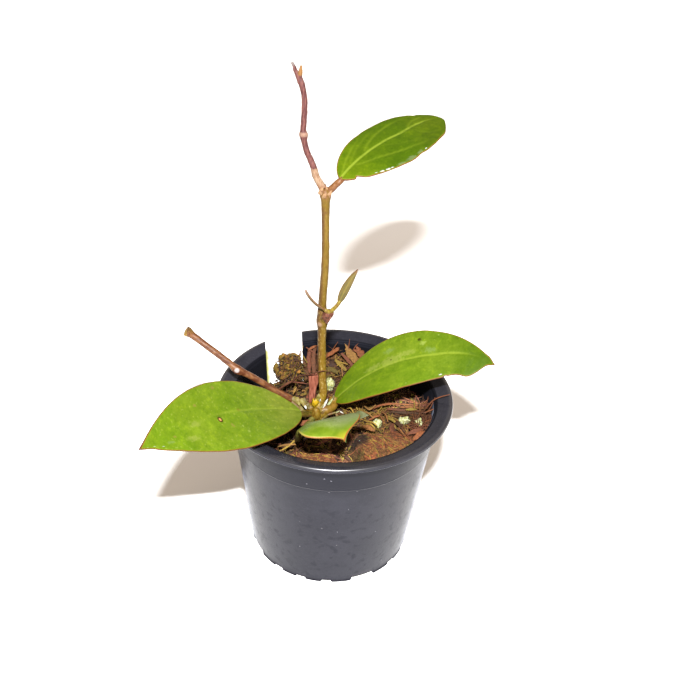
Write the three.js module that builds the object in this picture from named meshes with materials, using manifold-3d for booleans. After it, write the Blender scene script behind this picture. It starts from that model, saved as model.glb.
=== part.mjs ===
// A young climbing hoya with four thick leaves, rooted in a coir and bark mix in a black nursery pot.
// Millimetres, +Z up. The pot's underside lies on z = 0, its axis is x = y = 0, and its front faces -Y.
import * as THREE from 'three';
import { mergeVertices } from 'three/addons/utils/BufferGeometryUtils.js';
import Module from 'manifold-3d';

const wasm = await Module();
wasm.setup();

// Driving dimensions
const GAP = 0.3;                 // clearance that neighbouring pieces keep
const RIM_RADIUS = 50;
const POT_HEIGHT = 76;
const FOOT_RADIUS = 35;
const LIP_WIDTH = 6.6;
const LIP_DROP = 2.2;
const BAND_DROP = 16.1;          // from the rim down to the step round the wall
const STEP_DEPTH = 0.7;
const STEP_RADIUS = 43.3;        // outside, just above that step
const BAND_RADIUS = 45.2;        // outside, just under the lip
const INNER_FOOT_RADIUS = 33.7;
const INNER_STEP_RADIUS = 41.6;
const LEDGE_RADIUS = 42.6;
const FLOOR_THICKNESS = 1.6;
const LEDGE_DROP = 4.2;          // from the rim down to the stacking ledge inside
const POT_SEGMENTS = 56;
const WIDE_NOTCH = { every: 90, first: 26, span: 17, height: 2.2 };
const SMALL_NOTCH = { offsets: [26.5, 45, 63.5], span: 7, height: 1.3 };
const MEDIUM_LEVEL = 60.5;
const MEDIUM_RINGS = 10;
const MEDIUM_SPOKES = 40;
const BACK_RISE = { from: 20, over: 20, height: 7 };
const RIGHT_RISE = { from: 8, over: 20, height: 1.6 };
const HOLLOW = { x: -12, y: -20, spread: 12, depth: 4.5 };
const CHIP_COUNT = 34;
const CHIP_REACH = 33;
const CHUNK_CEILING = 90;        // chunks are trimmed to the wall up to here
const STEM_SIDES = 10;
const SEED = 1488;

const DEGREE = Math.PI / 180;

// Finishes
const finish = (color, roughness) => new THREE.MeshStandardMaterial({ color, roughness, metalness: 0 });
const POT_PLASTIC = finish(0x3a3942, 0.45);
const LABEL_PLASTIC = finish(0xf7f6e2, 0.5);
const MEDIUM = finish(0x5f3f28, 0.95);
const COIR = finish(0x87532f, 0.95);
const BARK = finish(0x93503c, 0.85);
const MOSS = finish(0x4c4620, 0.95);
const PERLITE = finish(0xf0efd6, 0.9);
const LEAF = finish(0x7fa024, 0.4);
const YOUNG_LEAF = finish(0x8c8226, 0.5);
const STEM = finish(0xa98a42, 0.6);
const DRY_WOOD = finish(0x8c5a50, 0.8);
const VINE = finish(0x98603f, 0.65);

// A small seeded generator: each call gives the next number from 0 to 1.
function seeded(seed) {
  let state = seed;
  return () => {
    state = (state + 0x6d2b79f5) | 0;
    let mixed = Math.imul(state ^ (state >>> 15), 1 | state);
    mixed = (mixed + Math.imul(mixed ^ (mixed >>> 7), 61 | mixed)) ^ mixed;
    return ((mixed ^ (mixed >>> 14)) >>> 0) / 4294967296;
  };
}

const smooth = (t) => {
  const u = Math.min(Math.max(t, 0), 1);
  return u * u * (3 - 2 * u);
};

function toSolid(geometry) {
  const bare = geometry.clone();
  bare.deleteAttribute('normal');
  bare.deleteAttribute('uv');
  const merged = mergeVertices(bare, 1e-4);
  return new wasm.Manifold(new wasm.Mesh({
    numProp: 3,
    vertProperties: new Float32Array(merged.attributes.position.array),
    triVerts: new Uint32Array(merged.index.array),
  }));
}

function toGeometry(solid) {
  const mesh = solid.getMesh();
  const geometry = new THREE.BufferGeometry();
  geometry.setAttribute('position', new THREE.BufferAttribute(new Float32Array(mesh.vertProperties), 3));
  geometry.setIndex(new THREE.BufferAttribute(new Uint32Array(mesh.triVerts), 1));
  geometry.computeVertexNormals();
  return geometry;
}

const join = (solids) => solids.reduce((all, solid) => all.add(solid));

const cut = (solid, tools) => tools.reduce((rest, tool) => rest.subtract(tool), solid);

// The largest body of a solid: loose scraps that a cut leaves are dropped.
function wholePiece(solid) {
  return solid.decompose().reduce((best, piece) => (piece.volume() > best.volume() ? piece : best));
}

function closedMesh(points, faces) {
  const geometry = new THREE.BufferGeometry();
  const place = points.flatMap((point) => point.toArray());
  geometry.setAttribute('position', new THREE.Float32BufferAttribute(place, 3));
  geometry.setIndex(faces.flat());
  return geometry;
}

// A round limb along knots [x, y, z, radius]: rings on a Catmull-Rom curve, closed by a point at each end.
function limb(knots, { sides = STEM_SIDES, steps = 3, grow = 0 } = {}) {
  const curve = new THREE.CatmullRomCurve3(knots.map(([x, y, z]) => new THREE.Vector3(x, y, z)));
  const rings = (knots.length - 1) * steps;
  const points = [];
  const faces = [];
  let across = new THREE.Vector3(1, 0.2, 0.1);
  for (let i = 0; i <= rings; i += 1) {
    const t = i / rings;
    const along = curve.getTangent(t);
    across = across.clone().addScaledVector(along, -across.dot(along)).normalize();
    const other = new THREE.Vector3().crossVectors(along, across);
    const knot = Math.min(Math.floor(t * (knots.length - 1)), knots.length - 2);
    const blend = smooth(t * (knots.length - 1) - knot);
    const radius = knots[knot][3] * (1 - blend) + knots[knot + 1][3] * blend + grow;
    const centre = curve.getPoint(t);
    for (let j = 0; j < sides; j += 1) {
      const turn = (j / sides) * 2 * Math.PI;
      points.push(centre.clone()
        .addScaledVector(across, radius * Math.cos(turn))
        .addScaledVector(other, radius * Math.sin(turn)));
    }
  }
  for (let i = 0; i < rings; i += 1) {
    for (let j = 0; j < sides; j += 1) {
      const a = i * sides + j;
      const b = i * sides + (j + 1) % sides;
      faces.push([a, b, b + sides], [a, b + sides, a + sides]);
    }
  }
  const start = points.length;
  points.push(curve.getPoint(0).addScaledVector(curve.getTangent(0), -0.3 * knots[0][3] - grow));
  points.push(curve.getPoint(1).addScaledVector(curve.getTangent(1), 0.3 * knots.at(-1)[3] + grow));
  for (let j = 0; j < sides; j += 1) {
    const next = (j + 1) % sides;
    faces.push([start, next, j], [start + 1, rings * sides + j, rings * sides + next]);
  }
  return toSolid(closedMesh(points, faces));
}

// A rounded lump: an icosphere stretched to its radii, boxed by a power, rough with crossed sine waves.
function lumpGeometry({ radii, detail = 1, box = 1, rough = 0, waves = 2, phase = 0, grow = 0 }) {
  const geometry = new THREE.IcosahedronGeometry(1, detail);
  const place = geometry.attributes.position;
  const point = new THREE.Vector3();
  for (let i = 0; i < place.count; i += 1) {
    point.fromBufferAttribute(place, i).normalize();
    const wave = Math.sin(waves * 3.1 * point.x + phase) * Math.cos(waves * 2.7 * point.y - phase)
      + Math.sin(waves * 3.9 * point.z + 2 * phase + point.x);
    const size = 1 + rough * wave;
    const squared = ['x', 'y', 'z'].map((axis) => Math.sign(point[axis]) * Math.abs(point[axis]) ** box);
    point.set(...squared).multiplyScalar(size);
    place.setXYZ(i, point.x * (radii[0] + grow), point.y * (radii[1] + grow), point.z * (radii[2] + grow));
  }
  return geometry;
}

function lump(shape, centre, angles = [0, 0, 0], grow = 0) {
  const geometry = lumpGeometry({ ...shape, grow });
  const turn = new THREE.Euler(angles[0] * DEGREE, angles[1] * DEGREE, angles[2] * DEGREE);
  const spin = new THREE.Matrix4().makeRotationFromEuler(turn);
  return toSolid(geometry.applyMatrix4(spin).translate(...centre));
}

// Half-width of a blade along its length: s^alpha (1 - s)^beta, scaled to 1 at its widest place.
function outline(s, alpha, beta) {
  const widest = alpha / (alpha + beta);
  return (s / widest) ** alpha * ((1 - s) / (1 - widest)) ** beta;
}

// The midrib at s from 0 to 1: heading, pitch and roll change evenly, and the rib follows them.
function midrib(leaf, s) {
  const parts = 24;
  const point = new THREE.Vector3(...leaf.base);
  const along = (u) => {
    const heading = (leaf.heading + leaf.turn * u) * DEGREE;
    const pitch = (leaf.pitch + leaf.bend * u) * DEGREE;
    return new THREE.Vector3(
      Math.cos(pitch) * Math.cos(heading), Math.cos(pitch) * Math.sin(heading), Math.sin(pitch));
  };
  for (let i = 0; i < parts; i += 1) {
    point.addScaledVector(along(((i + 0.5) / parts) * s), (leaf.length * s) / parts);
  }
  const heading = (leaf.heading + leaf.turn * s) * DEGREE;
  const roll = (leaf.roll + leaf.twist * s) * DEGREE;
  const forward = along(s);
  const level = new THREE.Vector3(-Math.sin(heading), Math.cos(heading), 0);
  const upright = new THREE.Vector3().crossVectors(forward, level);
  const side = level.clone().multiplyScalar(Math.cos(roll)).addScaledVector(upright, Math.sin(roll));
  const normal = upright.clone().multiplyScalar(Math.cos(roll)).addScaledVector(level, -Math.sin(roll));
  return { point, forward, side, normal };
}

// A leaf blade: a curved sheet on its midrib, thick at the rib and thin at the margin, closed all round.
function blade(leaf, grow = 0) {
  const { rows, columns, thick, edge, fold = [0, 0], dish = 0 } = leaf;
  const points = [];
  const faces = [];
  for (let k = 1; k < rows; k += 1) {
    const s = (1 - Math.cos((Math.PI * k) / rows)) / 2;
    const { point, side, normal } = midrib(leaf, s);
    const reach = outline(s, leaf.alpha, leaf.beta);
    for (const face of [1, -1]) {
      for (let j = 0; j <= columns; j += 1) {
        const v = (2 * j) / columns - 1;
        const tilt = (v > 0 ? fold[0] : fold[1]) * DEGREE;
        const width = (v > 0 ? leaf.left : leaf.right) * reach + grow;
        const height = (edge + (thick - edge) * (1 - v * v)) / 2 + grow;
        const lift = Math.abs(width * v) * Math.sin(tilt) + dish * width * v * v;
        points.push(point.clone()
          .addScaledVector(side, width * v * Math.cos(tilt))
          .addScaledVector(normal, lift + face * height));
      }
    }
  }
  const span = columns + 1;
  const top = (k, j) => (k - 1) * 2 * span + j;
  const under = (k, j) => top(k, j) + span;
  const ends = [0, 1].map((s) => {
    const { point, forward, normal } = midrib(leaf, s);
    const index = points.length;
    const tip = point.addScaledVector(forward, (2 * s - 1) * grow);
    points.push(tip.clone().addScaledVector(normal, edge / 2 + grow));
    points.push(tip.clone().addScaledVector(normal, -edge / 2 - grow));
    return index;
  });
  const quad = (a, b, c, d) => faces.push([a, b, c], [a, c, d]);
  for (let k = 1; k < rows - 1; k += 1) {
    for (let j = 0; j < columns; j += 1) {
      faces.push([top(k, j), top(k + 1, j), top(k + 1, j + 1)]);
      faces.push([top(k, j), top(k + 1, j + 1), top(k, j + 1)]);
      faces.push([under(k, j), under(k + 1, j + 1), under(k + 1, j)]);
      faces.push([under(k, j), under(k, j + 1), under(k + 1, j + 1)]);
    }
    quad(top(k, 0), under(k, 0), under(k + 1, 0), top(k + 1, 0));
    quad(top(k, columns), top(k + 1, columns), under(k + 1, columns), under(k, columns));
  }
  const last = rows - 1;
  for (let j = 0; j < columns; j += 1) {
    faces.push([ends[0], top(1, j), top(1, j + 1)], [ends[0] + 1, under(1, j + 1), under(1, j)]);
    faces.push([ends[1], top(last, j + 1), top(last, j)]);
    faces.push([ends[1] + 1, under(last, j), under(last, j + 1)]);
  }
  quad(ends[0], ends[0] + 1, under(1, 0), top(1, 0));
  quad(ends[0], top(1, columns), under(1, columns), ends[0] + 1);
  quad(top(last, 0), under(last, 0), ends[1] + 1, ends[1]);
  quad(ends[1], ends[1] + 1, under(last, columns), top(last, columns));
  return toSolid(closedMesh(points, faces));
}

// The pot

// Inner radius of the pot's wall at a height.
function innerRadius(z) {
  const floor = { z: FLOOR_THICKNESS, r: INNER_FOOT_RADIUS };
  const step = { z: POT_HEIGHT - BAND_DROP, r: INNER_STEP_RADIUS };
  const ledge = { z: POT_HEIGHT - LEDGE_DROP, r: LEDGE_RADIUS };
  const [low, high] = z < step.z ? [floor, step] : [step, ledge];
  return low.r + ((high.r - low.r) * (z - low.z)) / (high.z - low.z);
}

function potSolid() {
  const step = POT_HEIGHT - BAND_DROP;
  const ledge = POT_HEIGHT - LEDGE_DROP;
  const throat = RIM_RADIUS - LIP_WIDTH;
  const profile = [
    [0, 0], [FOOT_RADIUS - 0.8, 0], [FOOT_RADIUS, 0.8],
    [STEP_RADIUS - STEP_DEPTH, step - 0.6], [STEP_RADIUS, step],
    [BAND_RADIUS, POT_HEIGHT - LIP_DROP - 0.3],
    [RIM_RADIUS - 0.9, POT_HEIGHT - LIP_DROP], [RIM_RADIUS, POT_HEIGHT - LIP_DROP + 0.7],
    [RIM_RADIUS, POT_HEIGHT - 0.8], [RIM_RADIUS - 0.8, POT_HEIGHT],
    [throat + 0.7, POT_HEIGHT], [throat, POT_HEIGHT - 0.7], [throat - 0.2, ledge + 0.5],
    [innerRadius(ledge), ledge], [innerRadius(step), step],
    [INNER_FOOT_RADIUS, FLOOR_THICKNESS + 0.8], [INNER_FOOT_RADIUS - 0.8, FLOOR_THICKNESS],
    [0, FLOOR_THICKNESS],
  ].map(([r, z]) => new THREE.Vector2(r, z));
  const shell = new THREE.LatheGeometry(profile, POT_SEGMENTS).rotateX(Math.PI / 2);
  return cut(toSolid(shell), potNotches());
}

// Drainage notches through the corner of the floor and the wall, measured from the front towards +X.
function potNotches() {
  const notch = (angle, span, height) => {
    const width = FOOT_RADIUS * span * DEGREE;
    const tool = new THREE.BoxGeometry(width, 6, 2 * height);
    return toSolid(tool.translate(0, -FOOT_RADIUS, 0).rotateZ(angle * DEGREE));
  };
  const tools = [];
  for (let turn = WIDE_NOTCH.first; turn < 360 + WIDE_NOTCH.first; turn += WIDE_NOTCH.every) {
    tools.push(notch(turn, WIDE_NOTCH.span, WIDE_NOTCH.height));
    for (const offset of SMALL_NOTCH.offsets) {
      tools.push(notch(turn + offset, SMALL_NOTCH.span, SMALL_NOTCH.height));
    }
  }
  return tools;
}

// The plant. Knots are [x, y, z, radius].

const MAIN_STEM = [
  [-7.3, -2.2, 46, 1.5], [-7.2, -1.2, 56, 1.9], [-7.1, 0.2, 62, 2.5], [-7, 1.2, 66, 2.9],
  [-6.2, 2.8, 70, 2.1], [-5.2, 3.9, 74, 1.75], [-5.8, 4.9, 80.5, 1.7], [-6.2, 5.8, 88, 1.75],
  [-6.6, 7.2, 98.5, 1.75],
  [-6.7, 7.9, 103.5, 1.9], [-6.7, 8.4, 107.2, 2.5], [-6.8, 8.8, 110.8, 2.1], [-6.9, 9.3, 114, 1.7],
  [-6.8, 10.1, 120, 1.65], [-6.4, 11.4, 129.7, 1.6], [-6.5, 12.7, 139, 1.55], [-6.9, 14.2, 149.5, 1.55],
  [-7.2, 15.3, 157, 1.7], [-7.4, 16, 161.4, 2.4], [-8.1, 16.1, 163.6, 1.9],
];
const SIDE_SHOOT = [[-6.4, 8, 108.4, 2], [-4.8, 6.6, 111, 2.1], [-3.3, 5.6, 113.4, 1.8]];
const CROWN_KNOBS = [
  { shape: { radii: [2.5, 2.3, 2.2] }, centre: [-8.4, -1.6, 67.4] },
  { shape: { radii: [1.5, 1.3, 1.8] }, centre: [-8.7, 1.1, 69.5] },
  { shape: { radii: [2.6, 2.2, 2] }, centre: [-10.6, 2.6, 66.4] },
  { shape: { radii: [2.4, 2, 2.6] }, centre: [-5.4, 0.4, 65] },
];

function stemSolid(grow = 0) {
  const knobs = CROWN_KNOBS.map(({ shape, centre }) => lump(shape, centre, [0, 0, 0], grow));
  return join([limb(MAIN_STEM, { steps: 2, grow }), limb(SIDE_SHOOT, { steps: 2, grow }), ...knobs]);
}

// The tip that died back: its pale foot stands on the top node, and it forks at a shrivelled bud.
const DRY_TIP = [
  [-8.3, 16.1, 163.4, 1.7], [-9.7, 16.4, 165.4, 1.5], [-11.2, 16.8, 168, 1.35],
  [-12.2, 17.3, 171.4, 1.3], [-14.5, 18, 176.5, 1.2], [-16.2, 18.7, 181.4, 1.15],
  [-16.6, 19.2, 184.2, 1.8], [-16.7, 19.6, 186.4, 1.2], [-16.5, 20.7, 193.9, 1.1],
  [-16.7, 21.3, 198.6, 1.1], [-17.7, 22, 202.8, 1.25], [-19, 22.7, 205.5, 1.2],
  [-20.2, 23.3, 207.6, 0.75], [-21.7, 24, 210.5, 0.5],
];
const DRY_BUD = [[-18.6, 22.3, 204.6, 0.8], [-18.3, 22.1, 207.4, 0.75], [-18.1, 22, 210.2, 0.4]];

function dryTipSolid() {
  return join([limb(DRY_TIP, { steps: 2 }), limb(DRY_BUD, { sides: 6, steps: 2 })]);
}

// The old vine, cut off square at its outer end, with one node half way.
const CUT_VINE = [
  [-11.6, 4.4, 65.4, 2.2], [-17.2, 4.4, 68.5, 1.9], [-21.1, 4.1, 70.9, 1.7], [-26.7, 3.6, 74.7, 1.55],
  [-32.4, 3.2, 79, 1.5], [-38, 2.7, 82.7, 1.6], [-41.7, 2.4, 84.7, 2.2], [-44.5, 2.9, 87, 1.5],
  [-54.9, 5, 94.3, 1.25], [-60.2, 6.1, 98, 1.3], [-62.2, 6.5, 99.6, 1.8], [-62.9, 6.6, 100.2, 1.8],
];

const vineSolid = (grow = 0) => limb(CUT_VINE, { steps: 2, grow });

// Leaves. Angles are degrees: heading from +X towards +Y, pitch upwards, roll about the rib.
const LEAVES = {
  leaf_right: {
    base: [0.2, 5.5, 68.1], length: 76.6, left: 14, right: 14.8,
    heading: 15.2, turn: -49.5, pitch: 49.1, bend: -47.9, roll: -6.1, twist: 57.7,
    dish: 0.06, alpha: 0.55, beta: 0.9, thick: 1.5, edge: 0.8, rows: 20, columns: 6,
    petiole: [[-6.4, 0.9, 66.2, 2.1], [-3.6, 1, 66.6, 2], [-1.2, 2.6, 66.8, 1.8], [0.3, 5.2, 67.6, 1.6],
      [2.6, 6.1, 70.1, 0.9]],
  },
  leaf_left: {
    base: [-14.5, -6.1, 70.5], length: 94.6, left: 17.9, right: 14.1,
    heading: 213.3, turn: 37, pitch: 26.8, bend: -13, roll: -8.2, twist: -43.3,
    dish: 0.17, alpha: 0.66, beta: 1.05, thick: 1.5, edge: 0.8, rows: 20, columns: 6,
    petiole: [[-8, 0.2, 66, 1.9], [-11, -2.6, 67.6, 1.7], [-14.3, -5.9, 69.8, 1.6], [-17.4, -8, 71.3, 0.9]],
  },
  leaf_top: {
    base: [-1.8, 16, 167.6], length: 56, left: 11, right: 16.4,
    heading: 61, turn: -43, pitch: 19.3, bend: -13.1, roll: 9.2, twist: 0,
    dish: 0.035, alpha: 0.67, beta: 0.56, thick: 1.5, edge: 0.8, rows: 18, columns: 6,
    petiole: [[-7, 16, 161.8, 1.6], [-5.2, 16, 163.3, 1.45], [-3.4, 16, 165.4, 1.35],
      [-1.9, 16.2, 166.9, 1.3], [0, 18.8, 167.9, 0.8]],
  },
  leaf_front: {
    base: [-13.7, -29.8, 78.8], length: 31.4, left: 16, right: 11,
    heading: -6.4, turn: -72.4, pitch: 53.7, bend: -65.3, roll: -26, twist: 70.3,
    fold: [-21, 0], alpha: 1.03, beta: 1.41, thick: 1.4, edge: 0.8, rows: 18, columns: 6,
    petiole: [[-8.6, -1, 64.2, 1.4], [-11.8, -7, 63.2, 1.35], [-14.2, -15, 64.4, 1.3],
      [-14.6, -22, 68.4, 1.25], [-14.2, -27.4, 74.6, 1.15], [-13.7, -29.6, 78.2, 1.05],
      [-12.4, -30.2, 80.4, 0.8]],
  },
  shoot_leaf_right: {
    base: [-0.2, 5, 118.2], length: 17.4, left: 1.8, right: 1.8,
    heading: 4, turn: 0, pitch: 74, bend: -16, roll: 84, twist: 0,
    dish: 0.1, alpha: 0.5, beta: 0.8, thick: 1, edge: 0.7, rows: 10, columns: 4,
    petiole: [[-3.4, 5.6, 113.4, 1], [-1.6, 5.2, 116, 0.85], [-0.3, 5, 118, 0.85],
      [0.2, 5, 119.6, 0.6]],
  },
  shoot_leaf_left: {
    base: [-5.2, 5, 114.4], length: 12.6, left: 1.5, right: 1.5,
    heading: 172, turn: 0, pitch: 20, bend: 48, roll: 36, twist: 0,
    dish: 0.1, alpha: 0.45, beta: 0.7, thick: 1, edge: 0.7, rows: 10, columns: 4,
    petiole: [[-3.9, 5.6, 113, 1.1], [-5.1, 5.1, 114.2, 0.9], [-6.4, 5, 115.2, 0.6]],
  },
};

function leafSolid(leaf, grow = 0) {
  return blade(leaf, grow).add(limb(leaf.petiole, { steps: 2, grow }));
}

// The filling of the pot

// Height of the growing medium's surface: higher at the back, hollow at the front left, uneven all over.
function mediumHeight(x, y) {
  const back = BACK_RISE.height * smooth((y - BACK_RISE.from) / BACK_RISE.over);
  const right = RIGHT_RISE.height * smooth((x - RIGHT_RISE.from) / RIGHT_RISE.over);
  const away = Math.hypot(x - HOLLOW.x, y - HOLLOW.y) / HOLLOW.spread;
  const hollow = -HOLLOW.depth * Math.exp(-(away ** 2) / 2);
  const uneven = 0.9 * Math.sin(0.41 * x + 1.3) * Math.cos(0.37 * y) + 0.6 * Math.sin(0.83 * y + 0.5 * x);
  return MEDIUM_LEVEL + back + right + hollow + uneven;
}

// Everything inside the pot's wall, less the clearance: chunks are trimmed to it.
function interiorSolid() {
  const top = POT_HEIGHT - LEDGE_DROP;
  const step = POT_HEIGHT - BAND_DROP;
  const floor = FLOOR_THICKNESS + GAP;
  const profile = [
    [0, floor], [INNER_FOOT_RADIUS - 1 - GAP, floor], [INNER_FOOT_RADIUS - GAP, floor + 1.2],
    [INNER_STEP_RADIUS - GAP, step], [LEDGE_RADIUS - GAP, top],
    [LEDGE_RADIUS - GAP, CHUNK_CEILING], [0, CHUNK_CEILING],
  ].map(([r, z]) => new THREE.Vector2(r, z));
  return toSolid(new THREE.LatheGeometry(profile, POT_SEGMENTS).rotateX(Math.PI / 2));
}

// The body of the medium: rings of points at the surface height, down to a flat underside.
function mediumBody() {
  const points = [new THREE.Vector3(0, 0, mediumHeight(0, 0))];
  const faces = [];
  const ringStart = (ring) => 1 + (ring - 1) * MEDIUM_SPOKES;
  const floor = FLOOR_THICKNESS + GAP;
  for (let ring = 1; ring <= MEDIUM_RINGS + 1; ring += 1) {
    for (let spoke = 0; spoke < MEDIUM_SPOKES; spoke += 1) {
      const turn = (spoke / MEDIUM_SPOKES) * 2 * Math.PI;
      const low = ring > MEDIUM_RINGS;
      const height = mediumHeight(INNER_STEP_RADIUS * Math.cos(turn), INNER_STEP_RADIUS * Math.sin(turn));
      const edge = innerRadius(height) - GAP - 0.05;
      const reach = low ? FOOT_RADIUS - 2.8 : (edge * ring) / MEDIUM_RINGS;
      const x = reach * Math.cos(turn);
      const y = reach * Math.sin(turn);
      points.push(new THREE.Vector3(x, y, low ? floor : mediumHeight(x, y)));
    }
  }
  const under = points.length;
  points.push(new THREE.Vector3(0, 0, floor));
  for (let spoke = 0; spoke < MEDIUM_SPOKES; spoke += 1) {
    const next = (spoke + 1) % MEDIUM_SPOKES;
    faces.push([0, 1 + spoke, 1 + next]);
    for (let ring = 1; ring <= MEDIUM_RINGS; ring += 1) {
      const [a, b] = [ringStart(ring), ringStart(ring + 1)];
      faces.push([a + spoke, b + spoke, b + next], [a + spoke, b + next, a + next]);
    }
    const foot = ringStart(MEDIUM_RINGS + 1);
    faces.push([under, foot + next, foot + spoke]);
  }
  return toSolid(closedMesh(points, faces));
}

// Bark chips lying in the surface, each a slanted wedge with its root sunk in.
function scatteredChips() {
  const draw = seeded(SEED);
  const chips = [];
  while (chips.length < CHIP_COUNT) {
    const turn = 2 * Math.PI * draw();
    const reach = CHIP_REACH * Math.sqrt(draw());
    const [x, y] = [reach * Math.cos(turn), reach * Math.sin(turn)];
    const size = [5 + 7 * draw(), 1.6 + 1.8 * draw(), 1.1 + 0.9 * draw()];
    const [yaw, tilt, roll] = [180 * draw(), 40 * (draw() - 0.5), 60 * (draw() - 0.5)];
    const chip = new THREE.CylinderGeometry(size[1] / 2, size[1], size[0], 4).rotateZ(Math.PI / 2);
    chip.scale(1, 1, size[2] / size[1]).rotateX(roll * DEGREE).rotateY(tilt * DEGREE).rotateZ(yaw * DEGREE);
    chips.push(toSolid(chip.translate(x, y, mediumHeight(x, y) + 0.2)));
  }
  return chips;
}

// Pointed splinters that stand up against the back wall: [x, y, top, radius, lean].
const SPLINTERS = [
  [5, 37.4, 76, 1.5, 6], [-0.6, 38, 73.5, 1.3, -14], [8.3, 36.9, 71.5, 1.8, 18], [12.6, 36.2, 72.5, 1.2, 30],
  [-3.6, 37.2, 71.5, 1.2, -30], [16.8, 34.6, 69.5, 1.6, 12],
];

function splinterSolids() {
  return SPLINTERS.map(([x, y, top, radius, lean]) => {
    const foot = mediumHeight(x, y) - 5;
    const cone = new THREE.CylinderGeometry(0.35, radius, top - foot, 5).rotateX(Math.PI / 2);
    cone.translate(0, 0, (top - foot) / 2).rotateY(lean * DEGREE).translate(x, y, foot);
    return toSolid(cone);
  });
}

// Loose pieces that lie in the medium
const CHUNKS = {
  coir_chunk_right: {
    shape: { radii: [15.5, 12.3, 7.8], detail: 3, box: 0.72, rough: 0.045, waves: 2.1, phase: 1.7 },
    centre: [23, -20.8, 60.2], angles: [-9, 5, 26], material: COIR,
  },
  coir_chunk_left: {
    shape: { radii: [13, 7.2, 5.6], detail: 2, box: 0.75, rough: 0.06, waves: 2.6, phase: 0.4 },
    centre: [-10, -33, 61], angles: [-8, -4, -7], material: COIR,
  },
  moss_clump: {
    shape: { radii: [6.4, 3.7, 10.5], detail: 3, box: 0.9, rough: 0.12, waves: 3.2, phase: 2.4 },
    centre: [-20.6, 22, 70], angles: [0, 8, 0], material: MOSS,
  },
};

// White mineral grains: [x, y, then the three radii].
const PERLITE_GRAINS = [
  [-2.6, 24.4, 2.1, 2.6, 3.2], [18.6, -3.2, 1.5, 1.7, 1.7], [29.8, 0, 2.8, 1.8, 1.7],
  [35.4, -1, 1.6, 2.4, 2.1], [-31, 3.5, 1.6, 1.4, 1.3], [-24, -8, 1.7, 1.5, 1.4], [9.5, 20, 1.6, 1.8, 1.5],
];

const chunkSolid = ({ shape, centre, angles }, grow = 0) => lump(shape, centre, angles, grow);

function perliteSolid([x, y, ...radii], index, grow = 0) {
  const shape = { radii, detail: 1, rough: 0.1, waves: 1.4, phase: index };
  const centre = [x, y, mediumHeight(x, y) + 0.35 * radii[2]];
  return lump(shape, centre, [20 * index, 35 * index, 50 * index], grow);
}

// A flat splinter of red bark that stands beside the stem, wide and torn at its top.
const BARK_OUTLINE = [
  [-1, -8], [0.6, -8], [1.1, 2], [1.6, 9], [2.6, 15.4], [1.4, 14.6], [0.5, 15.9], [-0.6, 14.9],
  [-1.6, 15.7], [-2.4, 14.9], [-1.7, 9], [-1.2, 2],
];
const BARK_FOOT = { place: [-10.2, 8, 64.2], thickness: 1.3, lean: 3 };

function barkSolid(grow = 0) {
  const shape = new THREE.Shape(BARK_OUTLINE.map(([x, y]) => (
    new THREE.Vector2(x + Math.sign(x) * grow, y + Math.sign(y) * grow))));
  const depth = BARK_FOOT.thickness + 2 * grow;
  const slab = new THREE.ExtrudeGeometry(shape, { depth, bevelEnabled: false });
  slab.translate(0, 0, -depth / 2).rotateX(Math.PI / 2);
  return toSolid(slab.rotateY(BARK_FOOT.lean * DEGREE).translate(...BARK_FOOT.place));
}

// The blank plant label: a strip with a rounded top and a pointed foot, pushed into the medium.
const LABEL = { width: 16.2, top: 92.5, shoulder: 62, point: 42, tip: 4, thickness: 0.8, corner: 2.5 };
const LABEL_PLACE = { position: [-19.9, 28.5, 0], lean: -2.6, back: 1.5 };

function labelGeometry(grow = 0) {
  const half = LABEL.width / 2 + grow;
  const { top, shoulder, point, tip, corner } = LABEL;
  const shape = new THREE.Shape();
  shape.moveTo(-tip / 2 - grow, point - grow);
  shape.lineTo(tip / 2 + grow, point - grow);
  shape.lineTo(half, shoulder);
  shape.lineTo(half, top - corner);
  shape.quadraticCurveTo(half, top + grow, half - corner, top + grow);
  shape.lineTo(corner - half, top + grow);
  shape.quadraticCurveTo(-half, top + grow, -half, top - corner);
  shape.lineTo(-half, shoulder);
  const depth = LABEL.thickness + 2 * grow;
  const strip = new THREE.ExtrudeGeometry(shape, { depth, bevelEnabled: false, curveSegments: 5 });
  return strip.translate(0, 0, -depth / 2).rotateX(Math.PI / 2);
}

function placeLabel(object) {
  object.position.set(...LABEL_PLACE.position);
  object.rotation.set(LABEL_PLACE.back * DEGREE, LABEL_PLACE.lean * DEGREE, 0);
  object.updateMatrix();
  return object;
}

function labelSlot() {
  const { matrix } = placeLabel(new THREE.Object3D());
  return toSolid(labelGeometry(GAP).applyMatrix4(matrix));
}

// The assembly: each piece is cut clear of those named before it.
const plant = new THREE.Group();

function add(name, geometry, material, group = plant) {
  const mesh = new THREE.Mesh(geometry, material);
  mesh.name = name;
  group.add(mesh);
  return mesh;
}

const addSolid = (name, solid, material) => add(name, toGeometry(wholePiece(solid)), material);

addSolid('pot', potSolid(), POT_PLASTIC);
addSolid('main_stem', stemSolid(), STEM);
const stemRoom = stemSolid(GAP);
addSolid('dry_tip', dryTipSolid().subtract(stemRoom), DRY_WOOD);
addSolid('cut_vine', vineSolid().subtract(stemRoom), VINE);
const vineRoom = vineSolid(GAP);

const leafRooms = [];
for (const [name, leaf] of Object.entries(LEAVES)) {
  const young = name.startsWith('shoot');
  addSolid(name, cut(leafSolid(leaf), [stemRoom, vineRoom, ...leafRooms]), young ? YOUNG_LEAF : LEAF);
  leafRooms.push(leafSolid(leaf, GAP));
}
placeLabel(add('plant_label', labelGeometry(), LABEL_PLASTIC));

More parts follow.
